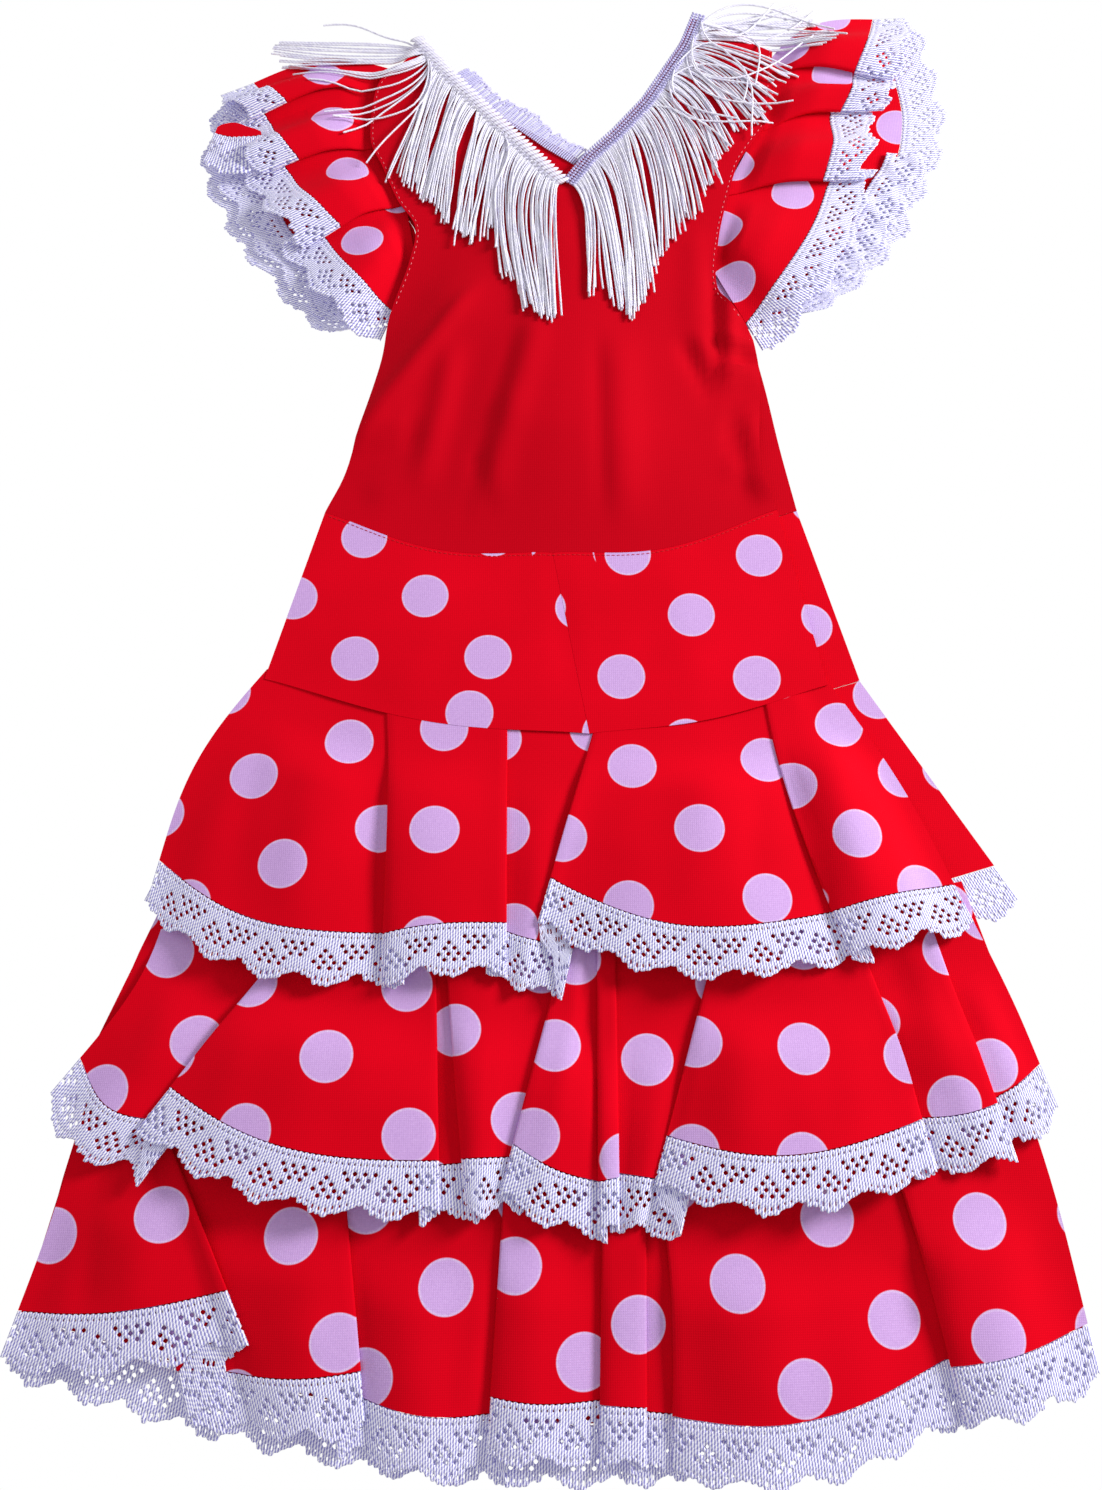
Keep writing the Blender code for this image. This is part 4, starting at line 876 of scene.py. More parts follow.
def lace_chart():
    """True where a cell of one lace repeat is thread; rows go down from the seam and columns along it."""
    cell = SCALLOP / LACE_COLUMNS
    drop = LACE_WIDE / LACE_ROWS
    chart = np.ones((LACE_ROWS, LACE_COLUMNS), bool)
    for band in range(LACE_ROWS // NET_HOLE_ROWS):
        down = NET_TOP + NET_FIRST + band * NET_HOLE_ROWS * drop
        for k in range(NET_HOLES):
            along = (k + 0.25 + 0.5 * (band % 2)) * SCALLOP / NET_HOLES
            from_tip = abs(along % SCALLOP - SCALLOP / 2)
            clear = abs(from_tip - (down - NET_TOP)) / math.sqrt(2) > BAND_WIDE
            if not clear or down + HOLE_CLEAR > scallop(along)[1]:
                continue
            r, c = int(down / drop), int(along / cell)
            for dr, dc in ((0, 0), (1, 0), (-1, 0), (0, 1), (0, -1)):
                chart[r + dr, (c + dc) % LACE_COLUMNS] = False
    for r in range(LACE_ROWS):
        for c in range(LACE_COLUMNS):
            middle = c % 3 == 1
            w = (r + 0.5) * drop
            reach, loop_top = scallop((c - c % 3 + 1.5) * cell)
            ladder = HEADER_ROWS[0] <= r <= HEADER_ROWS[1]
            loop_hole = loop_top < w < reach - LOOP_END
            beyond = w > reach - (0.0 if middle else drop)
            if (middle and (ladder or loop_hole)) or (r == 0 and not middle) or beyond:
                chart[r, c] = False
    clean = False
    while not clean:
        clean = True
        for r in range(LACE_ROWS - 1):
            for c in range(LACE_COLUMNS):
                d = (c + 1) % LACE_COLUMNS
                a, b, e, f = chart[r, c], chart[r, d], chart[r + 1, c], chart[r + 1, d]
                if a == f and b == e and a != b:
                    chart[r, c] = chart[r, d] = chart[r + 1, c] = chart[r + 1, d] = True
                    clean = False
    return chart


def lace_rounding(chart):
    """How far each corner of the chart moves so that its holes and loops have round corners, in cells."""
    rows, columns = chart.shape
    shift = np.zeros((rows + 1, columns, 2))

    def filled(r, c):
        return 0 <= r < rows and bool(chart[r, c % columns])

    links = {}
    for r in range(rows + 1):
        for c in range(columns):
            ways = []
            if filled(r - 1, c) != filled(r, c):
                ways.append((0, 1))
            if filled(r - 1, c - 1) != filled(r, c - 1):
                ways.append((0, -1))
            if filled(r, c - 1) != filled(r, c):
                ways.append((1, 0))
            if filled(r - 1, c - 1) != filled(r - 1, c):
                ways.append((-1, 0))
            if ways:
                links[r, c] = ways
    for _ in range(ROUNDING_PASSES):
        moved = shift.copy()
        for (r, c), ways in links.items():
            goal = np.mean([np.array(w) + shift[r + w[0], (c + w[1]) % columns] for w in ways], axis=0)
            moved[r, c] = shift[r, c] + ROUNDING_PULL * (goal - shift[r, c])
        shift = moved
    return shift


CHART = lace_chart()
ROUNDING = lace_rounding(CHART)


def units(vectors):
    return vectors / np.maximum(np.linalg.norm(vectors, axis=1), 1e-6)[:, None]


def upward(count):
    return np.tile((0.0, 0.0, 1.0), (count, 1))


def between(low, high, share):
    return low + (high - low) * share


def make_lace(name, seam, falls_to, level, normals, lift, node=None):
    """Crochet lace along a seam, the chart repeated; lift gives the height of the cloth under it."""
    track = np.column_stack([seam, level])
    along = np.concatenate([[0.0], np.cumsum(np.linalg.norm(np.diff(track, axis=0), axis=1))])
    repeats = max(1, round(along[-1] / SCALLOP))
    columns = repeats * LACE_COLUMNS
    rows_at, columns_at = np.nonzero(np.tile(CHART, (1, repeats)))
    corner = rows_at * (columns + 1) + columns_at
    quads = np.column_stack([corner, corner + columns + 1, corner + columns + 2, corner + 1])
    used, quads = np.unique(quads, return_inverse=True)
    quads = quads.reshape(-1, 4)
    r, c = used // (columns + 1), used % (columns + 1)
    shift = ROUNDING[r, c % LACE_COLUMNS].copy()
    shift[(c == 0) | (c == columns), 1] = 0.0
    s = (c + shift[:, 1]) / columns * along[-1]
    w = (r + shift[:, 0]) * LACE_WIDE / LACE_ROWS + SEAM_GAP / 2
    uneven = np.random.default_rng(repeats).uniform(-LOOP_UNEVEN, LOOP_UNEVEN, columns // 3 + 1)
    reach = scallop(s / along[-1] * repeats * SCALLOP)[0]
    w += uneven[c // 3] * smooth((w - reach + LOOP_LONG) / LOOP_LONG)

    def at_place(table):
        return np.column_stack([np.interp(s, along, column) for column in table.T])

    flat = at_place(seam) + units(at_place(falls_to)) * w[:, None]
    points = np.column_stack([flat, np.interp(s, along, level) + lift(flat)])
    uv = np.column_stack([s, w])[quads]
    made = make_wall(name, points, units(at_place(normals)), quads, CROCHET, LACE_THICK, uv, soft_rim=True)
    finish_trim(made, node)
    return made


def lace_node(name):
    """The node of the lace on a piece: a flounce's leaves the word flounce out."""
    return "lace_" + name.removeprefix("flounce_")


def profile(rise, fall):
    """At a share of the fall: height of the middle, of the sides and of a layer, and the share risen."""
    share = float(smooth((fall - rise.start) / (rise.end - rise.start)))
    return (
        between(rise.top_z, rise.hem_z, share),
        between(rise.top_z, rise.side_hem_z, share),
        between(rise.top_layer, rise.hem_layer, share),
        share,
    )


def make_front(front):
    """A pleated flounce or the top half of a sleeve, and the lace that follows its hem."""
    bumps = front.creases + fold_ridges(front.folds)

    def lift(places):
        high = relief(places, bumps) + ripple(places) + arch(places, front.folds, front.humps)
        return np.maximum(high, LIFT_LOWEST)

    grid, normals = [], []
    for fall in np.linspace(0, 1, FLOUNCE_ROWS):
        levels = profile(front.rise, fall)
        row = pleat_row(front.folds, fall, CLOTH_STEP, levels[2])
        shown = float(smooth((fall - front.show_from) / SHOW_SPAN))
        side = smooth(row[:, 7] / SIDE_RISE)
        high = heights(row, *levels) + lift(row[:, :2]) * shown * side
        grid.append(np.column_stack([row[:, :2], high]))
        normals.append(row[:, 4:7])
    panels = row[:, 8].astype(int)
    grid = np.array(grid)
    quads = grid_quads(*grid.shape[:2])[:, ::-1]
    points = grid.reshape(-1, 3)
    quad_panels = np.tile(np.minimum(panels[:-1], panels[1:]), FLOUNCE_ROWS - 1)
    uv = spot_map(points, quads, quad_panels, front.spots)
    made = make_wall(front.name + "_cloth", points, np.concatenate(normals), quads, COTTON, CLOTH_THICK, uv)
    levels = profile(front.rise, 1.0)
    hem = pleat_row(front.folds, 1.0, HEM_STEP, levels[2])
    above = pleat_row(front.folds, ABOVE_HEM, HEM_STEP, levels[2])
    away = units(hem[:, :2] - above[:, :2])
    side = smooth(hem[:, 7] / SIDE_RISE)
    high = heights(hem, *levels) - lift(hem[:, :2]) * (1 - side)
    lace = lace_node(front.name)
    edge = make_lace(lace + "_crochet", hem[:, :2], away, high, hem[:, 4:7], lift, lace)
    finish_cloth(made, front.name, grid, front.rests_on)
    return made, edge


def curve_through(table, steps):
    """Rows of a table, with steps - 1 more between each pair on a smooth curve through them."""
    table = np.array(table, float)
    ends = np.concatenate([2 * table[:1] - table[1:2], table, 2 * table[-1:] - table[-2:-1]])
    out = []
    for k in range(len(table) - 1):
        a, b, c, d = ends[k:k + 4]
        for step in range(steps):
            t = step / steps
            curve = (c - a) * t + (2 * a - 5 * b + 4 * c - d) * t**2 + (3 * b - a - 3 * c + d) * t**3
            out.append(0.5 * (2 * b + curve))
    return np.array(out + [table[-1]])


def half_columns(outer, inner, dip):
    """Points from a row's outer end to its inner end, dipping between."""
    shares = np.linspace(0, 1, HALF_COLUMNS)
    line = outer + (inner - outer) * shares[:, None]
    line[:, 1] += dip * np.sin(np.pi * shares) ** 1.3
    return line


def half_heights(side, near, middle, climb):
    """Heights from a row's outer end to its inner end; climb is the share it takes to the middle's."""
    shares = np.linspace(0, 1, HALF_COLUMNS)
    outer = side + (near - side) * shares / NEAR_SIDE
    inner = near + (middle - near) * smooth((shares - NEAR_SIDE) / climb)
    return np.where(shares < NEAR_SIDE, outer, inner)


def hem_line(row):
    """A bodice's hem from its left end to its right end."""
    left, left_middle, right_middle, right = np.array(row, float).reshape(4, 2)
    right_half = half_columns(right, right_middle, HEM_DIP)
    return np.concatenate([half_columns(left, left_middle, HEM_DIP), right_half[-2::-1]])


def make_bodice(name, rows, v_row, height_rows, climb, creases, rests_on):
    """A bodice in two halves that are one up to the point of the V."""
    fine = curve_through(rows, BODICE_STEPS)
    levels = curve_through(height_rows, BODICE_STEPS)
    v_fine = v_row * BODICE_STEPS
    joined = fine[: v_fine + 1]
    joined[:, 2:4] = joined[:, 4:6] = (joined[:, 2:4] + joined[:, 4:6]) / 2
    count, columns = len(fine), 2 * HALF_COLUMNS
    grid = np.zeros((count, columns, 3))
    for i, row in enumerate(fine):
        dip = HEM_DIP * float(np.interp(i / BODICE_STEPS, (0, 1, 2), DIP_FADE))
        pairs = row.reshape(4, 2)
        level = half_heights(*levels[i], climb)
        grid[i, :HALF_COLUMNS] = np.column_stack([half_columns(pairs[0], pairs[1], dip), level])
        grid[i, HALF_COLUMNS:] = np.column_stack([half_columns(pairs[3], pairs[2], dip), level])[::-1]
    flat = grid.reshape(-1, 3)
    flat[:, 2] = np.maximum(flat[:, 2] + relief(flat[:, :2], creases), np.minimum(flat[:, 2], LOWEST_FRONT))
    index = np.arange(count * columns).reshape(count, columns)
    index[: v_fine + 1, HALF_COLUMNS] = index[: v_fine + 1, HALF_COLUMNS - 1]
    quads = np.stack([index[:-1, :-1], index[:-1, 1:], index[1:, 1:], index[1:, :-1]], axis=2)
    keep = np.ones(columns - 1, bool)
    keep[HALF_COLUMNS - 1] = False
    used, quads = np.unique(quads[:, keep].reshape(-1, 4), return_inverse=True)
    quads = quads.reshape(-1, 4)
    points = flat[used]
    uv = points[quads][:, :, :2]
    made = make_wall(name + "_cloth", points, upward(len(points)), quads, KNIT, CLOTH_THICK, uv)
    finish_cloth(made, name, grid, rests_on)
    return made


def flat_grid(start, end, rows, z):
    """Rows of points from one line to another, all at one height."""
    level = np.full(len(start), z)
    return np.array([
        np.column_stack([between(start, end, share), level]) for share in np.linspace(0, 1, rows)
    ])


def sheet_from(name, grid, rests_on, spots, parts=()):
    """A plain cotton panel from a grid of points; its parts print a pattern of their own."""
    quads = grid_quads(*grid.shape[:2])
    points = grid.reshape(-1, 3)
    middle = points[quads].mean(axis=1)
    part = np.zeros(len(quads), int)
    for k, (low_x, low_y, high_x, high_y) in enumerate(parts, 1):
        inside = (middle[:, :2] > (low_x, low_y)) & (middle[:, :2] < (high_x, high_y))
        part[inside.all(axis=1)] = k
    uv = spot_map(points, quads, part, spots)
    made = make_wall(name + "_cloth", points, upward(len(points)), quads, COTTON, CLOTH_THICK, uv)
    finish_cloth(made, name, grid, rests_on)
    return made


def make_yoke_half(half):
    """Half of the hip yoke, from the bodice hem to over the first flounce."""
    outer_top, outer_low = np.array(half.outer, float).reshape(2, 2)
    inner_top, inner_low = np.array(YOKE_SEAM, float).reshape(2, 2)
    grid = []
    for fall in np.linspace(0, 1, YOKE_ROWS):
        dip = HEM_DIP * (1 - fall) + half.sag * fall
        ends = between(outer_top, outer_low, fall), between(inner_top, inner_low, fall)
        line = half_columns(*ends, dip) - (0.0, YOKE_GAP)
        line[-1, 0] += half.seam_side * YOKE_GAP / 2
        rise = float(smooth(fall / YOKE_RISEN))
        middle_z = between(YOKE_TOP_Z, YOKE_HEM_Z, rise)
        level = half_heights(between(YOKE_TOP_Z, half.side_hem_z, rise), middle_z, middle_z, CLIMB_FRONT)
        creased = relief(line, YOKE_CREASES) * math.sin(math.pi * fall) ** 0.5
        grid.append(np.column_stack([line, level + creased]))
    grid = np.array(grid)
    if half.seam_side == 1:
        grid = grid[:, ::-1]
    return sheet_from(half.name, grid, ["yoke_back", "flounce_1_front"], half.spots, half.parts)


def curve_row(left, right, sag, columns):
    shares = np.linspace(0, 1, columns)
    line = between(np.array(left, float), np.array(right, float), shares[:, None])
    line[:, 1] += sag * np.sin(np.pi * shares)
    return line


def flat_lace(name, seam, away, z, lift, node=None):
    """Lace on a seam that lies at one height."""
    return make_lace(name, seam, away, np.full(len(seam), z), upward(len(seam)), lift, node)


def unlifted(places):
    return np.zeros(len(places))


def ruffled(places):
    return 0.5 + 0.5 * np.sin(places[:, 0] / 3.1 + places[:, 1] / 4.3)


def make_back_flounce(back):
    """The plain back of a flounce, with its lace; a shingled one starts on top of the lace above."""
    left_top, left_low = np.array(back.left, float).reshape(2, 2)
    right_top, right_low = np.array(back.right, float).reshape(2, 2)
    grid = []
    for fall in np.linspace(0, 1, BACK_ROWS):
        sag = back.top_sag * (1 - fall) + back.sag * fall
        lift = BACK_SHINGLE * float(smooth((0.5 - fall) / 0.1)) if back.shingled else 0.0
        ends = between(left_top, left_low, fall), between(right_top, right_low, fall)
        row = curve_row(*ends, sag, BACK_COLUMNS)
        grid.append(np.column_stack([row, np.full(BACK_COLUMNS, BACK_Z + lift)]))
    grid = np.array(grid)
    hem = grid[-1, :, :2]
    lace = lace_node(back.name)
    edge = flat_lace(lace + "_crochet", hem, units(hem - grid[-3, :, :2]), BACK_Z, unlifted, lace)
    sheet_from(back.name, grid, [], SPOTS_BACK, ())


def make_under_sleeve(name, column, seam, spots, inner_from):
    """The under half of a sleeve, flat on the floor, with its lace and a second row inside its mouth."""
    armhole = curve_through([row[column:column + 2] for row in BODICE_BACK_ROWS[: ARMPIT_ROW - 1 : -1]], 6)
    seam = curve_through(seam, 6)
    away = units(seam - armhole)
    grid = flat_grid(armhole + away * SEAM_GAP, seam, UNDER_ROWS, BACK_Z)
    lace = lace_node(name)
    edge = flat_lace(lace + "_crochet", seam, away, BACK_Z, unlifted, lace)
    shown = slice(inner_from, -2)
    inner_seam = seam - away * UNDER_LACE_IN
    flat_lace(lace + "_inner", inner_seam[shown], away[shown], BACK_Z + INNER_LIFT, ruffled)
    sheet_from(name, grid, [], spots, ())


# Fringe, braid and stitches

def start_tree(name, inputs):
    """A geometry tree that takes the lines of a mesh and some named inputs."""
    tree = bpy.data.node_groups.new(name, "GeometryNodeTree")
    tree.interface.new_socket("Geometry", in_out="INPUT", socket_type="NodeSocketGeometry")
    for label, kind in inputs.items():
        tree.interface.new_socket(label, in_out="INPUT", socket_type="NodeSocket" + kind)
    tree.interface.new_socket("Geometry", in_out="OUTPUT", socket_type="NodeSocketGeometry")
    given = add(tree, "NodeGroupInput").outputs
    lines = add(tree, "GeometryNodeMeshToCurve", {"Mesh": given["Geometry"]}).outputs[0]
    return tree, given, lines


def end_tree(tree, given, shape):
    """Makes what a tree has placed real, smooth and of the material given."""
    whole = add(tree, "GeometryNodeRealizeInstances", {"Geometry": shape}).outputs[0]
    round_ = add(tree, "GeometryNodeSetShadeSmooth", {"Geometry": whole}).outputs[0]
    look = {"Geometry": round_, "Material": given["Material"]}
    dyed = add(tree, "GeometryNodeSetMaterial", look).outputs[0]
    add(tree, "NodeGroupOutput", {"Geometry": dyed})
    return tree


def strand_tree():
    """Round strands along the lines of a mesh. Inputs: Radius, Sides and Material."""
    inputs = {"Radius": "Float", "Sides": "Int", "Material": "Material"}
    tree, given, lines = start_tree("strands along lines", inputs)
    ring = add(tree, "GeometryNodeCurvePrimitiveCircle", {
        "Resolution": given["Sides"], "Radius": given["Radius"],
    }).outputs["Curve"]
    tube = add(tree, "GeometryNodeCurveToMesh", {
        "Curve": lines, "Profile Curve": ring, "Fill Caps": True,
    }).outputs[0]
    return end_tree(tree, given, tube)


def stitch_tree():
    """Small rounded stitches along the lines of a mesh. Inputs: Spacing, Size, Slant and Material."""
    inputs = {"Spacing": "Float", "Size": "Vector", "Slant": "Float", "Material": "Material"}
    tree, given, lines = start_tree("stitches along lines", inputs)
    even = add(tree, "GeometryNodeResampleCurve", {"Curve": lines, "Length": given["Spacing"]}, mode="LENGTH")
    tangent = add(tree, "GeometryNodeInputTangent").outputs[0]
    along = add(tree, "FunctionNodeAlignRotationToVector", {"Vector": tangent}, axis="X").outputs[0]
    upright = {"Axis": (0.0, 0.0, 1.0), "Angle": given["Slant"]}
    slant = add(tree, "FunctionNodeAxisAngleToRotation", upright).outputs[0]
    turned = add(tree, "FunctionNodeRotateRotation", {"Rotation": along, "Rotate By": slant},
                 rotation_space="GLOBAL").outputs[0]
    bead = add(tree, "GeometryNodeMeshUVSphere", {"Segments": 8, "Rings": 5, "Radius": 0.5}).outputs["Mesh"]
    placed = add(tree, "GeometryNodeInstanceOnPoints", {
        "Points": even.outputs[0], "Instance": bead, "Rotation": turned, "Scale": given["Size"],
    }).outputs[0]
    return end_tree(tree, given, placed)


def grow(name, lines, tree, **values):
    """Runs a tree on some lines, given in millimetres, and keeps the result as a plain mesh."""
    points, edges = [], []
    for line in lines:
        start = len(points)
        points += [tuple(np.array(place) * MM) for place in line]
        edges += [(start + k, start + k + 1) for k in range(len(line) - 1)]
    mesh = bpy.data.meshes.new(name)
    mesh.from_pydata(points, edges, [])
    made = bpy.data.objects.new(name, mesh)
    bpy.context.scene.collection.objects.link(made)
    modifier = made.modifiers.new("grow", "NODES")
    modifier.node_group = tree
    for item in tree.interface.items_tree:
        if item.in_out == "INPUT" and item.name in values:
            modifier[item.identifier] = values[item.name]
    made.data.update()
    ready = made.evaluated_get(bpy.context.evaluated_depsgraph_get())
    result = bpy.data.meshes.new_from_object(ready)
    made.modifiers.remove(modifier)
    made.data = result
    if not result.materials:
        result.materials.append(values["Material"])
    return made


def along_line(points, share):
    """A point at a share of a line's length, and the line's direction there."""
    points = np.array(points, float)
    steps = np.hypot(*np.diff(points, axis=0).T)
    want = share * steps.sum()
    for start, end, step in zip(points, points[1:], steps):
        if want <= step + 1e-6:
            return start + (end - start) * want / step, unit(end - start)
        want -= step
    return points[-1], unit(points[-1] - points[-2])


def hang_at(hangs, share):
    """Tip and bow of a strand at a share of the braid, between the table's rows on each side."""
    rows = np.array(hangs, float)
    return np.array([np.interp(share, rows[:, 0], rows[:, k]) for k in (1, 2, 3)])


def height_field(pieces):
    """The upper surfaces of some pieces, to lay other things on, in millimetres."""
    points, faces = [], []
    for piece in pieces:
        start = len(points)
        points += [vertex.co.copy() for vertex in piece.data.vertices]
        faces += [tuple(start + k for k in polygon.vertices) for polygon in piece.data.polygons]
    tree = BVHTree.FromPolygons(points, faces)

    def top(x, y, lowest):
        hit = tree.ray_cast(Vector((x * MM, y * MM, 0.1)), Vector((0, 0, -1)))
        return lowest if hit[0] is None else max(hit[0].z / MM, lowest)

    return top


def hanging_line(braid, point, hang, wave, phase, layer, top):
    """One strand: square out of the braid, then bending down to its tip, on what lies under it."""
    place, way = along_line(braid, hang.share)
    across = np.array([way[1], -way[0]])
    root = place + across * BRAID_WIDE / 2
    tip = np.array([hang.tip_x, hang.tip_y], float)
    reach = tip - root
    square = KNEE * min(1.0, 0.15 + 4 * abs(hang.share - point))
    knee = root + across * square + reach * 0.12
    aside = unit(np.array([-reach[1], reach[0]]))
    line = []
    for part in np.linspace(0, 1, STRAND_POINTS + 1):
        at = root * (1 - part) ** 2 + 2 * knee * part * (1 - part) + tip * part**2
        at = at + aside * (hang.bow * math.sin(math.pi * part) + wave * math.sin(8 * part + phase) * part)
        around = [at + reach * shift / STRAND_POINTS for shift in (-0.5, 0.0, 0.5)]
        under = max(top(x, y, STRAND_RADIUS) for x, y in around)
        stacked = STRAND_STACK * layer * min(1.0, 4 * part)
        line.append((at[0], at[1], under + STRAND_RADIUS + STRAND_CLEAR + stacked))
    line = np.array(line)
    line[1:-1, 2] = (line[:-2, 2] + 2 * line[1:-1, 2] + line[2:, 2]) / 4 + 0.1
    return line


def front_strands(fringe, count, top):
    """Lines of the strands that hang from a braid on the front, in clumps whose tips draw together."""
    chance = np.random.default_rng(fringe.seed)
    lines = []
    left_in_clump = 0
    for k in range(count):
        if left_in_clump == 0:
            left_in_clump = int(chance.integers(CLUMP - 3, CLUMP + 4))
            middle = min((k + left_in_clump / 2) / count, 1.0)
            shift = chance.normal(0, CLUMP_STRAY, 2)
            bend = chance.normal(0, CLUMP_BEND)
        left_in_clump -= 1
        share = (k + 0.5) / count
        own, shared = hang_at(fringe.hangs, share), hang_at(fringe.hangs, middle)
        tip = own[:2] + (shared[:2] - own[:2]) * CLUMP_CLOSE + shift + chance.normal(0, TIP_STRAY)
        hang = Hang(share, tip[0], tip[1], own[2] + bend + chance.normal(0, STRAND_BEND))
        wave, phase, layer = chance.normal(0, STRAND_BEND), chance.uniform(0, 6.28), chance.uniform(0, 1)
        lines.append(hanging_line(fringe.braid, fringe.point, hang, wave, phase, layer, top))
    for hang in fringe.loose:
        wave, phase = chance.normal(0, LOOSE_WAVE), chance.uniform(0, 6.28)
        lines.append(hanging_line(fringe.braid, fringe.point, hang, wave, phase, LOOSE_LAYER, top))
    return lines


def back_strands(braid, count, seed):
    """Lines of the strands that loop out over the back neck edge and go under it."""
    chance = np.random.default_rng(seed)
    lines = []
    for k in range(count):
        share = (k + 0.5) / count
        place, way = along_line(braid, share)
        across = np.array([-way[1], way[0]])
        shift = way * chance.normal(2.0, 1.0)
        out = OVER_EDGE + chance.normal(0, 1.0) + 1.5 * math.sin(math.pi * share * 5) - 4.0 * share**4
        line = [(*(place - across * BACK_ROOT_IN), BACK_ROOT_Z)]
        for part in np.linspace(0, 1, 9):
            bend = math.sin(part * math.pi * 0.62)
            at = place + across * out * bend + shift * part
            line.append((at[0], at[1], BACK_TIP_Z + BACK_TURN * math.cos(part * math.pi / 2) ** 0.7))
        lines.append(np.array(line))
    return lines


def turned_edge(name, seam, wide, top):
    """A crumpled bit of a sleeve's under edge that shows on top: a sliver of cloth, and the lace below it."""
    line = curve_through(seam, 6)
    steps = np.gradient(line, axis=0)
    away = units(np.column_stack([steps[:, 1], -steps[:, 0]]))
    level = max(top(x, y, TURNED_LOW) for x, y in np.concatenate([line, line - away * wide])) + TURNED_CLEAR
    bulge = np.sin(np.pi * np.linspace(0.04, 0.97, len(line)) ** 0.75) ** 0.6 * wide
    grid = flat_grid(line - away * bulge[:, None], line, 5, level)
    flat_lace(name + "_crochet", line, away, level, ruffled)
    quads = grid_quads(*grid.shape[:2])
    points = grid.reshape(-1, 3)
    uv = spot_map(points, quads, np.zeros(len(quads), int), [[(0, 0)]])
    sliver = make_wall(name + "_cloth", points, upward(len(points)), quads, COTTON, CLOTH_THICK, uv)
    finish_trim(sliver)


def line_beside(line, aside, lay, top):
    """A line to the right of another, looking along it, laid on the cloth."""
    out = []
    near = (-lay.spread, 0, lay.spread)
    for share in np.linspace(0, 1, lay.points):
        place, way = along_line(line, share)
        x, y = place + np.array([way[1], -way[0]]) * aside
        around = [top(x + dx, y + dy, lay.lowest) for dx in near for dy in near]
        out.append((x, y, max(around) + lay.lift))
    return out


def stitch(name, line, aside, size, slant, spacing, material, lay, top):
    """A row of stitches or loops beside a line; sizes in millimetres."""
    row = grow(name, [line_beside(line, aside, lay, top)], STITCHES, Spacing=spacing * MM,
               Size=tuple(side * MM for side in size), Slant=slant, Material=material)
    finish_trim(row)


def make_front_fringe(fringe, material, top):
    """Strands on one side of the neck, with the rows of loops of their braid."""
    lines = front_strands(fringe, STRANDS_FRONT, top)
    strands = grow(fringe.name + "_strands", lines, STRANDS, Radius=STRAND_RADIUS * MM, Sides=5,
                   Material=FLOSS)
    finish_trim(strands, fringe.name)
    for k, loops in enumerate(fringe.loops):
        stitch(f"{fringe.name}_braid_{k}", fringe.braid, BRAID_WIDE * loops.share, loops.size, loops.slant,
               loops.spacing, material, BRAID_LAY, top)


KNIT = stretch_knit()
COTTON = printed_cotton()
CROCHET = crochet_cotton()
FLOSS = floss("rayon_floss", "#cbc7e6", "#fdfbff")
# A copy of the same floss painted darker lilac for shade: the right braid's loops and the back fringe under
# the neckline.
SHADED_FLOSS = floss("rayon_floss_painted_shade", "#aaa5d8", "#d6d1f2")
PALE_THREAD = sewing_thread("pale_thread", ("#f6a0ac", "#e26070"))
RED_THREAD = sewing_thread("red_thread", ("#d40018", "#a00012"))

fronts = {front.name: make_front(front) for front in FRONTS}
for back in BACKS:
    make_back_flounce(back)
bodice_front = make_bodice("bodice_front", BODICE_FRONT_ROWS, V_ROW_FRONT, FRONT_HEIGHTS, CLIMB_FRONT,
                           CHEST_CREASES, ["bodice_back"])
make_bodice("bodice_back", BODICE_BACK_ROWS, V_ROW_BACK, BACK_HEIGHTS, CLIMB_BACK, [], [])
yoke_halves = [make_yoke_half(half) for half in YOKE_HALVES]
yoke_top = hem_line(BODICE_BACK_ROWS[0])
yoke_low = curve_row(YOKE_BACK_BOTTOM[:2], YOKE_BACK_BOTTOM[2:], YOKE_BACK_SAG, len(yoke_top))
gap = (0.0, SEAM_GAP)
sheet_from("yoke_back", flat_grid(yoke_top - gap, yoke_low + gap, 10, BACK_Z), [], SPOTS_BACK)
make_under_sleeve("sleeve_left_under", 0, UNDER_SEAM_LEFT, SPOTS_BACK, 2)
make_under_sleeve("sleeve_right_under", 6, UNDER_SEAM_RIGHT, SPOTS_MOUTH, 17)

sleeves = [*fronts["sleeve_left_top"], *fronts["sleeve_right_top"]]
cloth_top = height_field([bodice_front, *yoke_halves, *sleeves])
turned_edge("sleeve_left_turned", TURNED_SEAM, TURNED_WIDE, cloth_top)
STRANDS = strand_tree()
STITCHES = stitch_tree()
make_front_fringe(FRINGE_LEFT, FLOSS, cloth_top)
# The right braid's loops and the back fringe wear the floss painted darker for shade.
make_front_fringe(FRINGE_RIGHT, SHADED_FLOSS, cloth_top)
back_fringe = grow("fringe_back_strands", back_strands(BRAID_BACK, STRANDS_BACK, 7), STRANDS,
                   Radius=STRAND_RADIUS * MM, Sides=5, Material=SHADED_FLOSS)
finish_trim(back_fringe, "fringe_back")

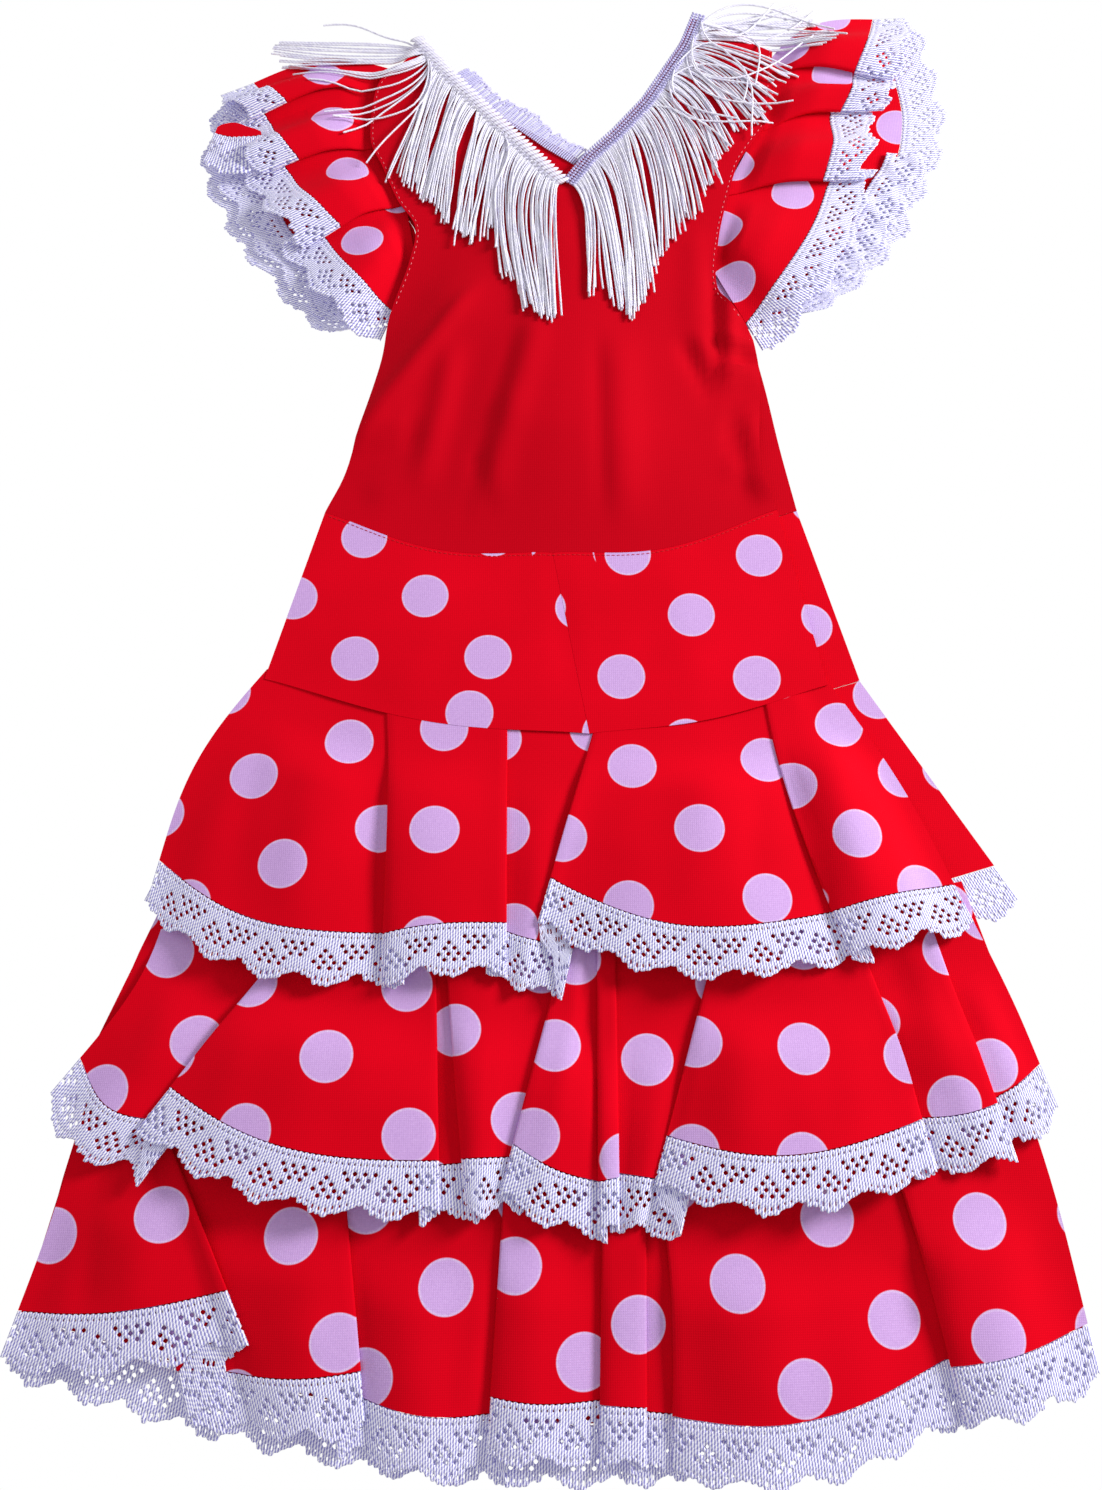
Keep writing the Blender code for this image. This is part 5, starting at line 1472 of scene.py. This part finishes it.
# Stitching that shows: pale thread round the armholes, red along the hip seam
arm_rows = curve_through(BODICE_FRONT_ROWS, BODICE_STEPS)[ARMPIT_ROW * BODICE_STEPS + 2:]
hip_line = hem_line(BODICE_FRONT_ROWS[0])[1:-1]
for name, line, aside, size, spacing, material in (
    ("armhole_left_stitches", arm_rows[:, 0:2], 1.6, (1.9, 0.4, 0.4), 4.1, PALE_THREAD),
    ("armhole_right_stitches", arm_rows[:, 6:8], -1.6, (1.9, 0.4, 0.4), 4.1, PALE_THREAD),
    ("hip_stitches", hip_line, 1.8, (2.2, 0.5, 0.4), 2.9, RED_THREAD),
):
    stitch(name, line, aside, size, 0.0, spacing, material, STITCH_LAY, cloth_top)

# Floor, light and camera
floor_mesh = bpy.data.meshes.new("floor")
floor_corners = [(x * FLOOR_HALF, y * FLOOR_HALF, FLOOR_Z) for x, y in ((-1, -1), (1, -1), (1, 1), (-1, 1))]
floor_mesh.from_pydata(floor_corners, [], [(0, 1, 2, 3)])
floor = bpy.data.objects.new("floor", floor_mesh)
bpy.context.scene.collection.objects.link(floor)
white = bpy.data.materials.new("white_floor")
white.use_nodes = True
white.node_tree.nodes.remove(white.node_tree.nodes["Principled BSDF"])
glow = add(white.node_tree, "ShaderNodeEmission", {"Color": (1.0, 1.0, 1.0, 1.0), "Strength": 1.0}).outputs[0]
white.node_tree.links.new(glow, white.node_tree.nodes["Material Output"].inputs["Surface"])
floor_mesh.materials.append(white)

world = bpy.data.worlds.new("studio")
world.use_nodes = True
world.node_tree.nodes["Background"].inputs["Color"].default_value = (1.0, 1.0, 1.0, 1.0)
world.node_tree.nodes["Background"].inputs["Strength"].default_value = ROOM_LIGHT
bpy.context.scene.world = world


def area_light(name, place, aim, size, power):
    light = bpy.data.lights.new(name, "AREA")
    light.size = size
    light.energy = power
    made = bpy.data.objects.new(name, light)
    made.location = place
    made.rotation_euler = (Vector(aim) - Vector(place)).to_track_quat("-Z", "Y").to_euler()
    bpy.context.scene.collection.objects.link(made)


area_light("window", place=(1.32, 0.48, 0.72), aim=(0, 0, 0), size=0.5, power=29.5)
area_light("wall_bounce", place=(-1.3, 0.5, 0.7), aim=(-0.1, 0.2, 0), size=1.2, power=4)
bpy.context.scene.view_settings.view_transform = "Standard"

camera_data = bpy.data.cameras.new("camera")
camera_data.lens = CAMERA_LENS
camera_data.sensor_width = CAMERA_SENSOR
camera = bpy.data.objects.new("camera", camera_data)
camera.location = CAMERA_PLACE
camera.rotation_euler = (CAMERA_TILT, 0.0, 0.0)
bpy.context.scene.collection.objects.link(camera)
bpy.context.scene.camera = camera
